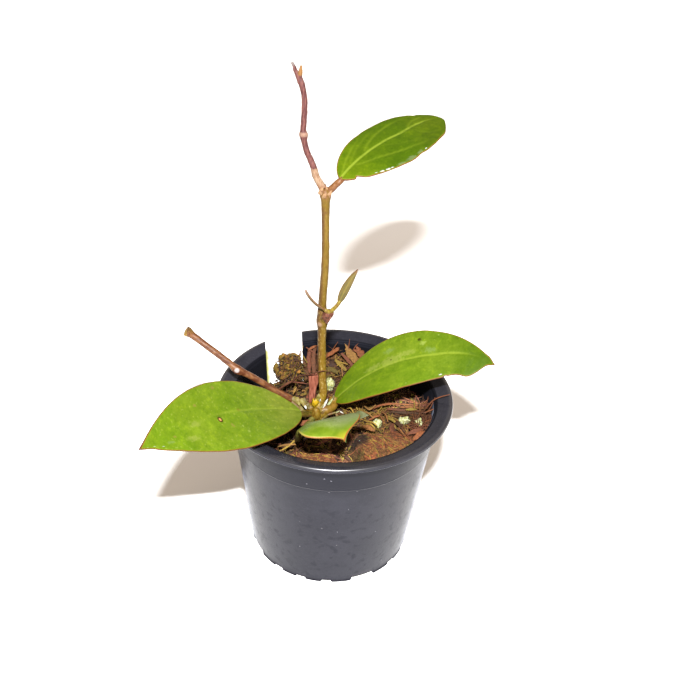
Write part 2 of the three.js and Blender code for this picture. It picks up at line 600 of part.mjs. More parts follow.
const plantRoom = [stemRoom, vineRoom, ...leafRooms, labelSlot()];
const interior = interiorSolid();
const looseRooms = [];
for (const [name, chunk] of Object.entries(CHUNKS)) {
  addSolid(name, cut(chunkSolid(chunk).intersect(interior), plantRoom), chunk.material);
  looseRooms.push(chunkSolid(chunk, GAP));
}
addSolid('bark_splinter', cut(barkSolid(), plantRoom), BARK);
looseRooms.push(barkSolid(GAP));
PERLITE_GRAINS.forEach((grain, index) => {
  addSolid(`perlite_${index + 1}`, cut(perliteSolid(grain, index), [...plantRoom, ...looseRooms]), PERLITE);
});
const grainRooms = PERLITE_GRAINS.map((grain, index) => perliteSolid(grain, index, GAP));

const filling = join([mediumBody(), ...scatteredChips(), ...splinterSolids()]);
addSolid('growing_medium', cut(filling, [...plantRoom, ...looseRooms, ...grainRooms]), MEDIUM);

export default plant;
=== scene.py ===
"""A young climbing hoya in a black nursery pot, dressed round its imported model.

Sizes are millimetres with +Z up and the viewer towards -Y; make_piece turns them into metres. The shapes repeat the
model's own driving sizes and add what is finer: rounded edges, relief, veins, shreds, fibres and scales.
"""

import bpy
import numpy as np
from mathutils import Matrix, Vector


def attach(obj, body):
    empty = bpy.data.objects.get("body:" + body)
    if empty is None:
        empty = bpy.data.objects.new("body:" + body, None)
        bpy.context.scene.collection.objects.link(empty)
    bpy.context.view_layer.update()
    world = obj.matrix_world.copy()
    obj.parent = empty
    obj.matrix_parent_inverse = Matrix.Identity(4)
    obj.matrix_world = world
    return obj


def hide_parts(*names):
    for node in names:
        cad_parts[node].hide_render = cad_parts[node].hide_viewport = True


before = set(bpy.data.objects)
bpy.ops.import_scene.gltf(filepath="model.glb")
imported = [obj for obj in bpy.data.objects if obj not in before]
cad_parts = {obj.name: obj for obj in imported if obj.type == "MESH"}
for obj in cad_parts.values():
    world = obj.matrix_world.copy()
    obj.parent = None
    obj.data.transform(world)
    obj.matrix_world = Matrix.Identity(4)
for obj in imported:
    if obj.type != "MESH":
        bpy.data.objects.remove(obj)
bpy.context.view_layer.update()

MM = 0.001
TURN = 2 * np.pi
# Left free between the medium and the pot's wall
GAP = 0.3

# Camera and lights, where the photograph had them; LIT is how many times its own colour a level lit surface shows
LIT = 4.2
CAMERA_PLACE = (0, -364.9, 346.9)
CAMERA_RIGHT = (0.9989, 0.0156, 0.0441)
CAMERA_UP = (-0.0453, 0.562, 0.8259)
CAMERA_FORWARD = (0.0119, 0.827, -0.5621)
CAMERA_LENS = 55.14
CAMERA_SENSOR = 36
KEY_PLACE = (1, -395, 491)
KEY_AIM = (0, 0, 60)
KEY_SIZE = (46, 15)
KEY_POWER = 16.6
FILL_COLOUR = (1.0, 0.82, 0.66)
FILL_STRENGTH = 0.62
BACK_PLACE = (0, 850, 520)
BACK_SIZE = (1500, 500)
BACK_SPREAD = 125
BACK_POWER = 3.5

# Pot sizes; the step round the wall is shallower than the model's, as faint as in the photograph
RIM_RADIUS = 50
POT_HEIGHT = 76
FOOT_RADIUS = 35
LIP_WIDTH = 6.6
LIP_DROP = 2.2
BAND_DROP = 16.1
STEP_DEPTH = 0.3
STEP_RADIUS = 43.3
BAND_RADIUS = 45.2
INNER_FOOT_RADIUS = 33.7
INNER_STEP_RADIUS = 41.6
LEDGE_RADIUS = 42.6
FLOOR_THICKNESS = 1.6
LEDGE_DROP = 4.2
STEP_HEIGHT = POT_HEIGHT - BAND_DROP
LEDGE_HEIGHT = POT_HEIGHT - LEDGE_DROP
WIDE_NOTCH = dict(first=26, span=17, height=2.2)
SMALL_NOTCH = dict(offsets=(26.5, 45, 63.5), span=7, height=1.3)
NOTCH_DEPTH = 3

# Places in the medium where light and shade are painted: painted light lifting the shadows under the two right
# leaves, a painted shadow in the deep gap by the right chunk, and two painted shades
FRONT_SHADOW_LIFT = (2, -16, 61)
RIGHT_SHADOW_LIFT = (31, 14, 65)
PAINTED_GAP_SHADOW = (9.6, -18, 66)
CHUNK_SHADE = (10.4, -25, 63)
LEAF_SHADE = (33, 3, 68)

# Growing medium sizes
MEDIUM_LEVEL = 60.5
BACK_RISE = dict(start=20, over=20, height=7)
RIGHT_RISE = dict(start=8, over=20, height=1.6)
HOLLOW = dict(x=-12, y=-20, spread=12, depth=4.5)


# Noise and curves

def ease(t):
    """The smooth step 3t^2 - 2t^3, held at 0 and 1 outside that range."""
    t = np.clip(t, 0, 1)
    return t * t * (3 - 2 * t)


def lattice(cell, seed):
    """Repeatable numbers from 0 to 1 for whole-numbered cells: their numbers are mixed by products and shifts."""
    mixed = cell[..., 0] * 73856093 ^ cell[..., 1] * 19349663 ^ cell[..., 2] * 83492791 ^ (seed + 1) * 2654435761
    mixed = (mixed & 0xFFFFFFFF) * 1274126177
    mixed = (mixed ^ (mixed >> 15)) & 0xFFFFFFFF
    mixed = (mixed * 668265263) & 0xFFFFFFFF
    return ((mixed >> 9) & 0xFFFF) / 65535


def ripple(points, size, seed=0):
    """Smooth noise from -1 to 1: the lattice's numbers at a cell's eight corners, blended by the smooth step."""
    scaled = np.asarray(points) / size
    low = np.floor(scaled).astype(np.int64)
    part = ease(scaled - low)
    total = 0
    for corner in np.ndindex(2, 2, 2):
        weight = np.prod(np.where(corner, part, 1 - part), axis=-1)
        total = total + weight * lattice(low + np.array(corner), seed)
    return 2 * total - 1


def rough(points, size, octaves=3, seed=0):
    """Ripples added up, each half the size and half the height of the one before."""
    return sum(ripple(points, size / 2 ** k, seed + k) / 2 ** k for k in range(octaves))


def unit(vectors):
    """Vectors divided by their lengths."""
    return vectors / np.linalg.norm(vectors, axis=-1, keepdims=True)


def xyz(x, y, z):
    """Points from three coordinates, stretched to one shape."""
    return np.stack(np.broadcast_arrays(x, y, z), -1)


def pointing(heading, climb):
    """Unit vectors for headings and climbs in radians: (cos climb cos heading, cos climb sin heading, sin climb)."""
    return xyz(np.cos(climb) * np.cos(heading), np.cos(climb) * np.sin(heading), np.sin(climb))


def blunted(values, power):
    """Numbers from -1 to 1 pushed towards the ends: sign(v) |v|^power."""
    return np.sign(values) * np.abs(values) ** power


def sphere(rows, columns):
    """The unit sphere's directions ring by ring, upwards: (sin p cos q, sin p sin q, cos p)."""
    polar = ((np.arange(rows) + 0.5) / rows * np.pi)[:, None]
    turn = np.arange(columns) / columns * TURN
    return xyz(np.sin(polar) * np.cos(turn), np.sin(polar) * np.sin(turn), np.cos(polar))[::-1]


def rail(knots, count, ends_close=0):
    """Points, tangents and radii along knots [x, y, z, radius]: a centripetal Catmull-Rom curve, its radius eased
    from knot to knot. Steps are even in knots; ends_close bunches some of them at both ends."""
    knots = np.asarray(knots, float)
    places = knots[:, :3]
    padded = np.vstack([2 * places[0] - places[1], places, 2 * places[-1] - places[-2]])
    even = np.linspace(0, 1, count)
    t = (even + ends_close * ((1 - np.cos(np.pi * even)) / 2 - even)) * (len(knots) - 1)
    i = np.minimum(t.astype(int), len(knots) - 2)
    u = (t - i)[:, None]
    p0, p1, p2, p3 = (padded[i + k] for k in range(4))
    d0, d1, d2 = (np.sqrt(np.linalg.norm(b - a, axis=1, keepdims=True)) for a, b in ((p0, p1), (p1, p2), (p2, p3)))
    m1 = d1 * ((p1 - p0) / d0 - (p2 - p0) / (d0 + d1) + (p2 - p1) / d1)
    m2 = d1 * ((p2 - p1) / d1 - (p3 - p1) / (d1 + d2) + (p3 - p2) / d2)
    points = (2 * u**3 - 3 * u**2 + 1) * p1 + (u**3 - 2 * u**2 + u) * m1
    points = points + (3 * u**2 - 2 * u**3) * p2 + (u**3 - u**2) * m2
    radii = knots[i, 3] + (knots[i + 1, 3] - knots[i, 3]) * ease(u[:, 0])
    return points, unit(np.gradient(points, axis=0)), radii


def across_frame(tangents):
    """Two directions square to the tangents: the first is the axis that the curve follows least, made square."""
    least = np.eye(3)[np.abs(tangents).max(axis=tuple(range(tangents.ndim - 1))).argmin()]
    first = unit(least - tangents * (tangents @ least)[..., None])
    return first, np.cross(tangents, first)


def limb(knots, rings, sides, relief=None, blunt=0.3):
    """Rings round a rail, as one sheet (rings, sides, 3): centre + radius (cos q first + sin q second).
    relief(points) is added to the radius, and the ends close in over a blunt share of the radius."""
    points, tangents, radii = rail(knots, rings, ends_close=0.3)
    first, second = across_frame(tangents)
    turn = np.arange(sides) / sides * TURN
    spoke = first[:, None] * np.cos(turn)[None, :, None] + second[:, None] * np.sin(turn)[None, :, None]
    skin = points[:, None] + spoke * radii[:, None, None]
    along = np.concatenate([[0], np.cumsum(np.linalg.norm(np.diff(points, axis=0), axis=1))])
    if relief is not None:
        skin = skin + spoke * relief(skin)[..., None]
    from_end = np.minimum(along, along[-1] - along) / (np.maximum(radii, 0.05) * blunt)
    close = np.sqrt(np.clip(1 - (1 - np.clip(from_end, 0, 1)) ** 2, 0.02, 1))
    return points[:, None] + (skin - points[:, None]) * close[:, None, None]


# Meshes

def sheet_faces(pieces, rows, columns):
    """Faces of a batch of sheets whose points are numbered row by row: quads between neighbours, wrapped round the
    columns, and a fan of triangles from an extra middle point at each end."""
    size = rows * columns
    here = np.arange(columns)
    ahead = (here + 1) % columns
    row = np.arange(rows - 1)[:, None] * columns
    quads = np.stack([row + here, row + ahead, row + columns + ahead, row + columns + here], -1).reshape(-1, 4)
    number = np.arange(pieces)[:, None]
    quads = (quads[None] + number[..., None] * size).reshape(-1, 4)
    first = number * size
    last = first + (rows - 1) * columns
    middle = pieces * size + 2 * number
    low = xyz(middle, first + ahead, first + here).reshape(-1, 3)
    high = xyz(middle + 1, last + here, last + ahead).reshape(-1, 3)
    return quads.tolist() + low.tolist() + high.tolist()


def batch(sheets):
    """Points and faces of sheets (pieces, rows, columns, 3), with a middle point at each end."""
    sheets = np.asarray(sheets)
    if sheets.ndim == 3:
        sheets = sheets[None]
    pieces, rows, columns, _ = sheets.shape
    middles = np.stack([sheets[:, 0].mean(axis=1), sheets[:, -1].mean(axis=1)], axis=1)
    return np.vstack([sheets.reshape(-1, 3), middles.reshape(-1, 3)]), sheet_faces(pieces, rows, columns)


def spread(values):
    """A quantity on sheets (pieces, rows, columns) as one value a point, in the order that batch gives them."""
    values = np.asarray(values, float)
    if values.ndim == 2:
        values = values[None]
    ends = np.stack([values[:, 0].mean(axis=1), values[:, -1].mean(axis=1)], axis=1)
    return np.concatenate([values.reshape(-1), ends.reshape(-1)])


def joined(*parts):
    """Several (points, faces) pairs as one."""
    points, faces, count = [], [], 0
    for part_points, part_faces in parts:
        points.append(part_points)
        faces += [[index + count for index in face] for face in part_faces]
        count += len(part_points)
    return np.vstack(points), faces


def new_object(name, data):
    """An object for a mesh, a lamp or a camera, put into the scene."""
    made = bpy.data.objects.new(name, data)
    bpy.context.scene.collection.objects.link(made)
    return made


def make_piece(name, part, material, slot, nodes=(), sharp=None, **values):
    """A Blender object from points and faces in millimetres, riding on the body, with one value a point for each
    named attribute. Edges sharper than an angle in degrees stay sharp."""
    points, faces = part
    mesh = bpy.data.meshes.new(name)
    mesh.from_pydata((np.asarray(points) * MM).tolist(), [], faces)
    for key, value in values.items():
        layer = mesh.attributes.new(key, "FLOAT", "POINT")
        layer.data.foreach_set("value", np.asarray(value, np.float32))
    mesh.shade_smooth()
    if sharp:
        mesh.set_sharp_from_angle(angle=np.radians(sharp))
    mesh.materials.append(material)
    mesh.update()
    piece = new_object(name, mesh)
    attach(piece, "root")
    if nodes:
        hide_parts(*nodes)


# Materials

def tone(red, green, blue):
    """A colour as the lit plant shows it, each part from 0 to 255, as the linear colour of the surface itself."""
    shown = np.array([red, green, blue]) / 255
    linear = np.where(shown <= 0.04045, shown / 12.92, ((shown + 0.055) / 1.055) ** 2.4)
    return (*(linear / LIT).tolist(), 1.0)


class Value:
    """A shader socket that Python's operators work on: each operator adds its Math node."""

    def __init__(self, finish, socket):
        self.finish = finish
        self.socket = socket

    def __add__(self, other):
        return self.finish.math("ADD", self, other)

    def __sub__(self, other):
        return self.finish.math("SUBTRACT", self, other)

    def __rsub__(self, other):
        return self.finish.math("SUBTRACT", other, self)

    def __mul__(self, other):
        return self.finish.math("MULTIPLY", self, other)

    __radd__ = __add__
    __rmul__ = __mul__


class Finish:
    """A material whose nodes are written as expressions."""

    def __init__(self, name, **constants):
        self.material = bpy.data.materials.new(name)
        self.material.use_nodes = True
        self.tree = self.material.node_tree
        self.shader = self.tree.nodes["Principled BSDF"]
        for socket, value in constants.items():
            self.shader.inputs[socket.replace("_", " ")].default_value = value
        self.spot = self.node("VectorMath", {0: self.node("TexCoord", out="Object"), 3: 1 / MM}, operation="SCALE")

    def node(self, kind, sockets=None, out=0, stops=None, **settings):
        """Adds a node: its settings first, then the values or links of its sockets; gives the output asked for."""
        made = self.tree.nodes.new("ShaderNode" + kind)
        for setting, value in settings.items():
            setattr(made, setting, value)
        if stops:
            for position, _ in stops[2:]:
                made.color_ramp.elements.new(position)
            for element, (position, colour) in zip(made.color_ramp.elements, stops):
                element.position = position
                element.color = colour
        for key, value in (sockets or {}).items():
            if isinstance(value, Value):
                self.tree.links.new(value.socket, made.inputs[key])
            else:
                made.inputs[key].default_value = value
        return Value(self, made.outputs[out])

    def math(self, operation, *values):
        return self.node("Math", dict(enumerate(values)), operation=operation)

    def read(self, name):
        """An attribute of the mesh."""
        return self.node("Attribute", out="Fac", attribute_name=name)

    def noise(self, scale, detail=3, place=None, roughness=0.55):
        """Noise from 0 to 1, with scale in waves a millimetre."""
        sockets = {"Vector": place or self.spot, "Scale": scale, "Detail": detail, "Roughness": roughness}
        return self.node("TexNoise", sockets, out="Fac")

    def between(self, value, low, high):
        """0 below low and 1 above high, eased; the other way round if low is the larger."""
        return self.node("MapRange", {"Value": value, "From Min": low, "From Max": high},
                         interpolation_type="SMOOTHSTEP")

    def mix(self, factor, first, second, how="MIX"):
        return self.node("Mix", {0: factor, 6: first, 7: second}, out=2, data_type="RGBA", blend_type=how)

    def ramp(self, value, *stops):
        return self.node("ValToRGB", {0: value}, stops=stops)

    def tint(self, factor, colour, red, green, blue):
        """The colour's parts multiplied by three numbers, where factor is 1."""
        return self.mix(factor, colour, (red, green, blue, 1), "MULTIPLY")

    def blend(self, value, low, high, first, second):
        """From the first colour to the second as the value goes from low to high."""
        return self.mix(self.between(value, low, high), first, second)

    def axis(self, letter):
        return self.node("SeparateXYZ", {0: self.spot}, out=letter)

    def stretched(self, x, y, z):
        """The place on the piece with its axes scaled, for grain that runs one way."""
        return self.node("VectorMath", {0: self.spot, 1: (x, y, z)}, operation="MULTIPLY")

    def vector(self, x, y, z):
        return self.node("CombineXYZ", {0: x, 1: y, 2: z})

    def near(self, centre, inner, outer):
        """1 within the inner distance of a point, 0 past the outer one."""
        distance = self.node("VectorMath", {0: self.spot, 1: centre}, out="Value", operation="DISTANCE")
        return self.between(distance, outer, inner)

    def done(self, colour, roughness, height, relief):
        """Links the colour, the roughness and a bump whose height of 1 stands for relief millimetres."""
        bump = self.node("Bump", {"Height": height, "Distance": relief * MM, "Strength": 1.0}, out="Normal")
        for value, socket in ((colour, "Base Color"), (roughness, "Roughness"), (bump, "Normal")):
            self.tree.links.new(value.socket, self.shader.inputs[socket])
        return self.material


# Pot

def eased_profile(corners, steps=5):
    """A profile (radius, height) with its corners rounded: each corner's third number is how far back along both
    edges a parabola starts."""
    corners = np.array(corners, float)
    points = corners[:, :2]
    before = unit(points[:-2] - points[1:-1])
    after = unit(points[2:] - points[1:-1])
    cut = corners[1:-1, 2:3]
    t = np.linspace(0, 1, steps)[None, :, None]
    middle = points[1:-1][:, None]
    start, end = middle + (before * cut)[:, None], middle + (after * cut)[:, None]
    curve = (1 - t) ** 2 * start + 2 * t * (1 - t) * middle + t**2 * end
    return np.vstack([points[:1], curve.reshape(-1, 2), points[-1:]])


def notches():
    """Every drainage notch round the foot: its middle in degrees from the front, its span and its height."""
    for turn in range(4):
        first = WIDE_NOTCH["first"] + 90 * turn
        yield first, WIDE_NOTCH["span"], WIDE_NOTCH["height"]
        for offset in SMALL_NOTCH["offsets"]:
            yield first + offset, SMALL_NOTCH["span"], SMALL_NOTCH["height"]


def outer_radius(height):
    """The pot wall's outside radius at a height, up to the lip."""
    heights = [0, STEP_HEIGHT - 0.1, STEP_HEIGHT, POT_HEIGHT - LIP_DROP]
    return np.interp(height, heights, [FOOT_RADIUS, STEP_RADIUS - STEP_DEPTH, STEP_RADIUS, BAND_RADIUS])


def pot_skin():
    """The pot turned about its axis: an outer profile whose foot rises at each notch, over the lip, down inside."""
    soft = 0.6
    edges = [middle + side * (span / 2 + offset) for middle, span, _ in notches() for side in (-1, 1)
             for offset in (-soft, -0.2, 0.2, soft)]
    angle = np.unique(np.concatenate([np.arange(0, 360, 1.5), np.mod(edges, 360)]))
    rise = np.zeros((1, len(angle)))
    for middle, span, height in notches():
        away = np.abs((angle - middle + 180) % 360 - 180)
        rise = np.maximum(rise, height * ease((span / 2 + soft - away) / (2 * soft)))
    throat = RIM_RADIUS - LIP_WIDTH
    side = [(outer_radius(z), z, 0.8) for z in (3.2, 5, 8, 13, 20, 30, 41, 52)]
    under = POT_HEIGHT - LIP_DROP + 0.6
    wall = eased_profile([
        *side, (STEP_RADIUS - STEP_DEPTH, STEP_HEIGHT - 0.4, 0.15),
        (STEP_RADIUS, STEP_HEIGHT + 0.05, 0.12), (STEP_RADIUS, STEP_HEIGHT + 0.5, 0.1),
        (BAND_RADIUS, under - 0.9, 0.2), (BAND_RADIUS - 0.4, under - 0.4, 0.2),
        (BAND_RADIUS - 0.3, under, 0.15), (RIM_RADIUS - 0.5, under, 0.3), (RIM_RADIUS, under + 0.45, 0.25),
        (RIM_RADIUS, POT_HEIGHT + 0.75, 1.5), (RIM_RADIUS - 2.8, POT_HEIGHT + 0.15, 0.3),
        (throat - 0.6, POT_HEIGHT - 1.4, 0.4), (throat - 0.9, POT_HEIGHT - 2.4, 0.3),
        (throat - 1.4, POT_HEIGHT - 2.8, 0.2), (INNER_STEP_RADIUS, STEP_HEIGHT, 0.4),
        (INNER_FOOT_RADIUS, FLOOR_THICKNESS + 0.9, 0.6), (INNER_FOOT_RADIUS - 1, FLOOR_THICKNESS, 0.4),
        (2, FLOOR_THICKNESS, 0)])
    zero = np.zeros_like(rise)
    back = FOOT_RADIUS - NOTCH_DEPTH
    foot_radii = np.array([2, 16, back - 0.3, back, back + 0.3, INNER_FOOT_RADIUS, FOOT_RADIUS, FOOT_RADIUS + 0.25,
                           FOOT_RADIUS + 0.3])
    low = np.minimum(rise, 1.2)
    foot_heights = np.vstack([zero, zero, zero, zero, low, low, rise, rise + 0.15, rise + 0.4])
    radii = np.vstack([foot_radii[:, None] + zero, wall[:, :1] + zero])
    heights = np.vstack([foot_heights, wall[:, 1:] + zero])
    turn = np.radians(angle)[None]
    skin = xyz(radii * np.sin(turn), -radii * np.cos(turn), heights)
    wobble = 0.12 * ripple(skin * [1, 1, 0.35], 22, 5) * ease(heights / 20) * ease((74 - heights) / 10)
    skin[..., 0] += wobble * np.sin(turn)
    skin[..., 1] -= wobble * np.cos(turn)
    return batch(skin)


def pot_finish():
    """Satin black plastic: soft dark blotches low down, fine dusty grain, smoother on the lip, dull at the foot;
    painted shade darkens the upper wall under the lip and the inside wall.
    """
    f = Finish("black_nursery_plastic", Coat_Roughness=0.32, Sheen_Weight=0.06, Sheen_Roughness=0.18,
               Sheen_Tint=(0.68, 0.76, 1, 1), Specular_IOR_Level=0.121, Specular_Tint=(0.7, 0.73, 1, 1))
    height = f.axis("Z")
    cloud = f.noise(0.06, 4)
    blotch = f.noise(0.3, 3, roughness=0.5)
    dust = f.noise(0.9, 5, roughness=0.75)
    colour = f.blend(cloud, 0.35, 0.7, (0.008, 0.008, 0.0105, 1), (0.012, 0.012, 0.0155, 1))
    colour = f.mix(f.between(dust, 0.45, 0.75) * 0.5, colour, (0.018, 0.018, 0.023, 1))
    colour = f.mix(f.between(blotch, 0.54, 0.68) * f.between(height, 58, 40) * 0.6, colour, (0.003, 0.003, 0.005, 1))
    # Painted shade: the upper wall under the lip is darkened towards black
    band_shade = f.between(height, STEP_HEIGHT - 6, STEP_HEIGHT + 2) * f.between(height, POT_HEIGHT - 1.6, POT_HEIGHT - 2.6)
    colour = f.mix(band_shade * 0.75, colour, (0.002, 0.002, 0.003, 1))
    reach = f.node("VectorMath", {0: f.vector(f.axis("X"), f.axis("Y"), 0.0)}, out="Value", operation="LENGTH")
    inside = f.between(reach - height * 0.12, 34.9, 34.3) * f.between(height, 40, 50)
    # Painted shade: the inside wall's colour is darkened towards black
    colour = f.mix(inside, colour, (0.001, 0.001, 0.0015, 1))
    edge = f.between(reach, RIM_RADIUS - 2.4, RIM_RADIUS - 1) * f.between(height, POT_HEIGHT - 0.7, POT_HEIGHT)
    f.tree.links.new((edge * 0.9).socket, f.shader.inputs["Coat Weight"])
    roughness = 0.3 + f.between(cloud, 0.3, 0.8) * 0.08 + f.between(dust, 0.4, 0.8) * 0.1
    roughness = roughness - f.between(height, POT_HEIGHT - LIP_DROP - 0.6, POT_HEIGHT - LIP_DROP) * 0.14
    roughness = roughness + f.between(height, 3, 0.5) * 0.5 + inside * 0.5
    return f.done(colour, roughness + f.between(blotch, 0.5, 0.7) * 0.06, dust * 0.5 + f.noise(1.6, 3) * 0.3, 0.05)


# Plant: stems

# Places on the stems that are coloured on their own
LEAF_SCAR = (-7.6, 6.6, 106.6)
CROWN = (-6, 1, 66.5)
SHOOT_BASE = (-4.2, 5.9, 111.6)
YELLOW_KNOB = (-8.5, 0, 71)
DRIED_BUD = (-18.2, 22, 208.4)
VINE_SCAR = (-41.6, 0.8, 85.4)

MAIN_STEM = [
    [-7.3, -2.2, 46, 1.5], [-7.2, -1.2, 56, 1.9], [-7.1, 0.2, 62, 2.5], [-7, 1.2, 66, 2.9],
    [-6.2, 2.8, 70, 2.1], [-5.2, 3.9, 74, 1.75], [-5.8, 4.9, 80.5, 1.7], [-6.2, 5.8, 88, 1.75],
    [-6.6, 7.2, 98.5, 1.75], [-6.7, 7.9, 103.5, 1.9], [-6.7, 8.4, 107.2, 2.5], [-6.8, 8.8, 110.8, 2.1],
    [-6.9, 9.3, 114, 1.7], [-6.8, 10.1, 120, 1.65], [-6.4, 11.4, 129.7, 1.6], [-6.5, 12.7, 139, 1.55],
    [-6.9, 14.2, 149.5, 1.55], [-7.2, 15.3, 157, 1.7], [-7.4, 16, 161.4, 2.4], [-8.1, 16.1, 163.6, 1.9]]
SIDE_SHOOT = [[-6.4, 8, 108.4, 2], [-4.8, 6.6, 111, 2.1], [-3.3, 5.6, 113.4, 1.8]]
CROWN_KNOBS = [((2.2, 1.8, 3.2), (-7.8, -1.4, 66)), ((2.2, 1.6, 3), (-0.8, 4.6, 68.2)),
               ((1.55, 1.4, 2.2), (-8.4, 0.6, 70.7)), ((2.6, 2.2, 2), (-10.6, 2.6, 66.4)),
               ((2.4, 2, 2.6), (-5.4, 0.4, 65))]
DRY_TIP = [
    [-8.3, 16.1, 163.4, 1.7], [-9.7, 16.4, 165.4, 1.5], [-11.2, 16.8, 168, 1.35], [-12.2, 17.3, 171.4, 1.3],
    [-14.5, 18, 176.5, 1.2], [-16.2, 18.7, 181.4, 1.15], [-16.6, 19.2, 184.2, 1.8], [-16.7, 19.6, 186.4, 1.2],
    [-16.5, 20.7, 193.9, 1.1], [-16.7, 21.3, 198.6, 1.1], [-17.7, 22, 202.8, 1.25], [-19, 22.7, 205.5, 1.2],
    [-20.2, 23.3, 207.6, 0.75], [-21.7, 24, 210.5, 0.5]]
DRY_BUD = [[-18.6, 22.3, 204.6, 0.8], [-18.3, 22.1, 207.4, 0.75], [-18.1, 22, 210.2, 0.4]]
CUT_VINE = [
    [-11.6, 4.4, 65.2, 1.9], [-17.2, 4.4, 68.2, 1.6], [-21.1, 4.1, 70.6, 1.45], [-26.7, 3.6, 74.5, 1.4],
    [-32.4, 3.2, 78.8, 1.4], [-38, 2.7, 82.6, 1.45], [-41.7, 2.4, 84.8, 1.95], [-44.5, 2.9, 87.2, 1.45],
    [-54.9, 5, 94.7, 1.4], [-60.2, 6.1, 98.4, 1.5], [-62.2, 6.4, 99.9, 2.1], [-63, 6.3, 100.5, 2.15]]


def ball(radii, centre, rows=24, columns=32, spin=None, relief=None):
    """A closed lump: centre + radii times the unit sphere, its surface moved out by relief(direction)."""
    way = sphere(rows, columns)
    skin = way * np.asarray(radii)
    if relief is not None:
        skin = skin * (1 + relief(way))[..., None]
    if spin is not None:
        skin = skin @ spin.T
    return batch(skin + np.asarray(centre))


def stem_relief(points):
    """Fine wrinkles that run along a living stem."""
    return 0.07 * rough(points * [1, 1, 0.12], 0.9, 2, 11) + 0.05 * rough(points, 1.6, 2, 12)


def dry_relief(points):
    """Deep wrinkles of a dried stem, with small dents."""
    return 0.16 * ripple(points * [1, 1, 0.1], 0.8, 21) + 0.08 * rough(points, 0.9, 2, 22)


def stem_parts():
    knobs = [ball(radii, centre, relief=lambda way, n=n: 0.07 * rough(way * 2, 1, 2, 30 + n))
             for n, (radii, centre) in enumerate(CROWN_KNOBS)]
    return joined(batch(limb(MAIN_STEM, 420, 28, stem_relief)), batch(limb(SIDE_SHOOT, 40, 24, stem_relief)), *knobs)


def stem_finish():
    f = Finish("living_stem", Specular_IOR_Level=0.15)
    height = f.axis("Z")
    stretched = f.stretched(1, 1, 0.16)
    streak = f.noise(1.3, 3, place=stretched)
    patch = f.noise(0.16, 3)
    colour = f.blend(streak, 0.35, 0.7, tone(168, 134, 34), tone(190, 154, 58))
    colour = f.mix(f.between(patch, 0.5, 0.66) * 0.75, colour, tone(140, 92, 44))
    brown_side = f.between(f.axis("X") + (patch - 0.5) * 1.6, -6.5, -7.9) * f.between(height, 160, 150)
    colour = f.mix(brown_side * 0.75, colour, tone(138, 92, 50))
    fleck = f.noise(1.5, 2, place=f.stretched(1, 1, 0.5))
    low_down = f.between(height, 132, 96) * 0.8 + 0.12
    colour = f.mix(f.between(fleck, 0.56, 0.68) * low_down, colour, tone(236, 206, 124))
    colour = f.mix(f.between(height, 157, 163) * f.between(streak, 0.3, 0.6), colour, tone(186, 128, 76))
    colour = f.mix(f.near(LEAF_SCAR, 0.7, 1.5), colour, tone(236, 190, 150))
    colour = f.blend(height, 78, 112, f.tint(1.0, colour, 0.93, 0.88, 0.9),
                   f.tint(1.0, colour, 0.72, 0.7, 0.7))
    colour = f.tint(f.near(CROWN, 5, 9), colour, 1, 1.1, 0.5)
    shoot = f.near(SHOOT_BASE, 2.0, 3.4)
    colour = f.mix(shoot, colour, f.blend(streak, 0.4, 0.6, tone(112, 62, 46), tone(164, 98, 78)))
    collar = f.blend(streak, 0.4, 0.6, tone(128, 92, 18), tone(172, 130, 36))
    colour = f.mix(f.between(height, 70.5, 68.5) * 0.8, colour, collar)
    foot = f.between(height, 74, 66)
    colour = f.mix(foot * f.between(fleck, 0.46, 0.64), colour, tone(166, 142, 52))
    bud = f.near(YELLOW_KNOB, 1.7, 2.5)
    mark = f.between(f.noise(1.1, 1), 0.56, 0.62)
    colour = f.mix(bud, colour, f.mix(mark, tone(240, 196, 30), tone(110, 84, 20)))
    roughness = 0.42 + f.between(streak, 0.3, 0.7) * 0.16
    return f.done(colour, roughness, streak * 0.7 + fleck * 0.3, 0.14)


def dry_parts():
    def bud(points):
        return 0.1 * rough(points, 0.8, 2, 25)
    return joined(batch(limb(DRY_TIP, 320, 26, dry_relief)), batch(limb(DRY_BUD, 40, 14, bud, blunt=1.6)))


def dry_finish():
    f = Finish("dried_stem", Specular_IOR_Level=0.2)
    height = f.axis("Z")
    grain = f.stretched(1, 1, 0.12)
    streak = f.noise(1.6, 3, place=grain)
    colour = f.blend(streak, 0.35, 0.7, tone(110, 58, 60), tone(164, 105, 96))
    worn = height + (f.noise(0.5, 2) - 0.5) * 5
    pale = f.blend(streak, 0.35, 0.65, tone(188, 146, 112), tone(222, 192, 160))
    colour = f.blend(worn, 172.2, 171.2, colour, pale)
    colour = f.blend(worn, 166, 163.6, colour, tone(180, 124, 80))
    ring = f.between(f.math("ABSOLUTE", height - 184.6), 1.1, 0.4)
    colour = f.mix(ring * 0.7, colour, tone(216, 178, 152))
    tip = f.between(height, 208.6, 210.2)
    colour = f.mix(tip * f.between(f.axis("X"), -20.2, -20.8), colour, tone(160, 148, 146))
    bud = f.near(DRIED_BUD, 1.6, 2.6)
    colour = f.mix(bud * f.between(f.axis("X"), -19.6, -19), colour, tone(190, 138, 78))
    colour = f.tint(1.0, colour, 0.92, 0.87, 0.84)
    return f.done(colour, 0.55 + streak * 0.2, streak, 0.3)


def vine_relief(points):
    """Wrinkles that run along the vine, with small dents."""
    return 0.08 * rough(points * [0.12, 1, 0.3], 0.8, 2, 41) + 0.05 * rough(points, 1.4, 2, 42)


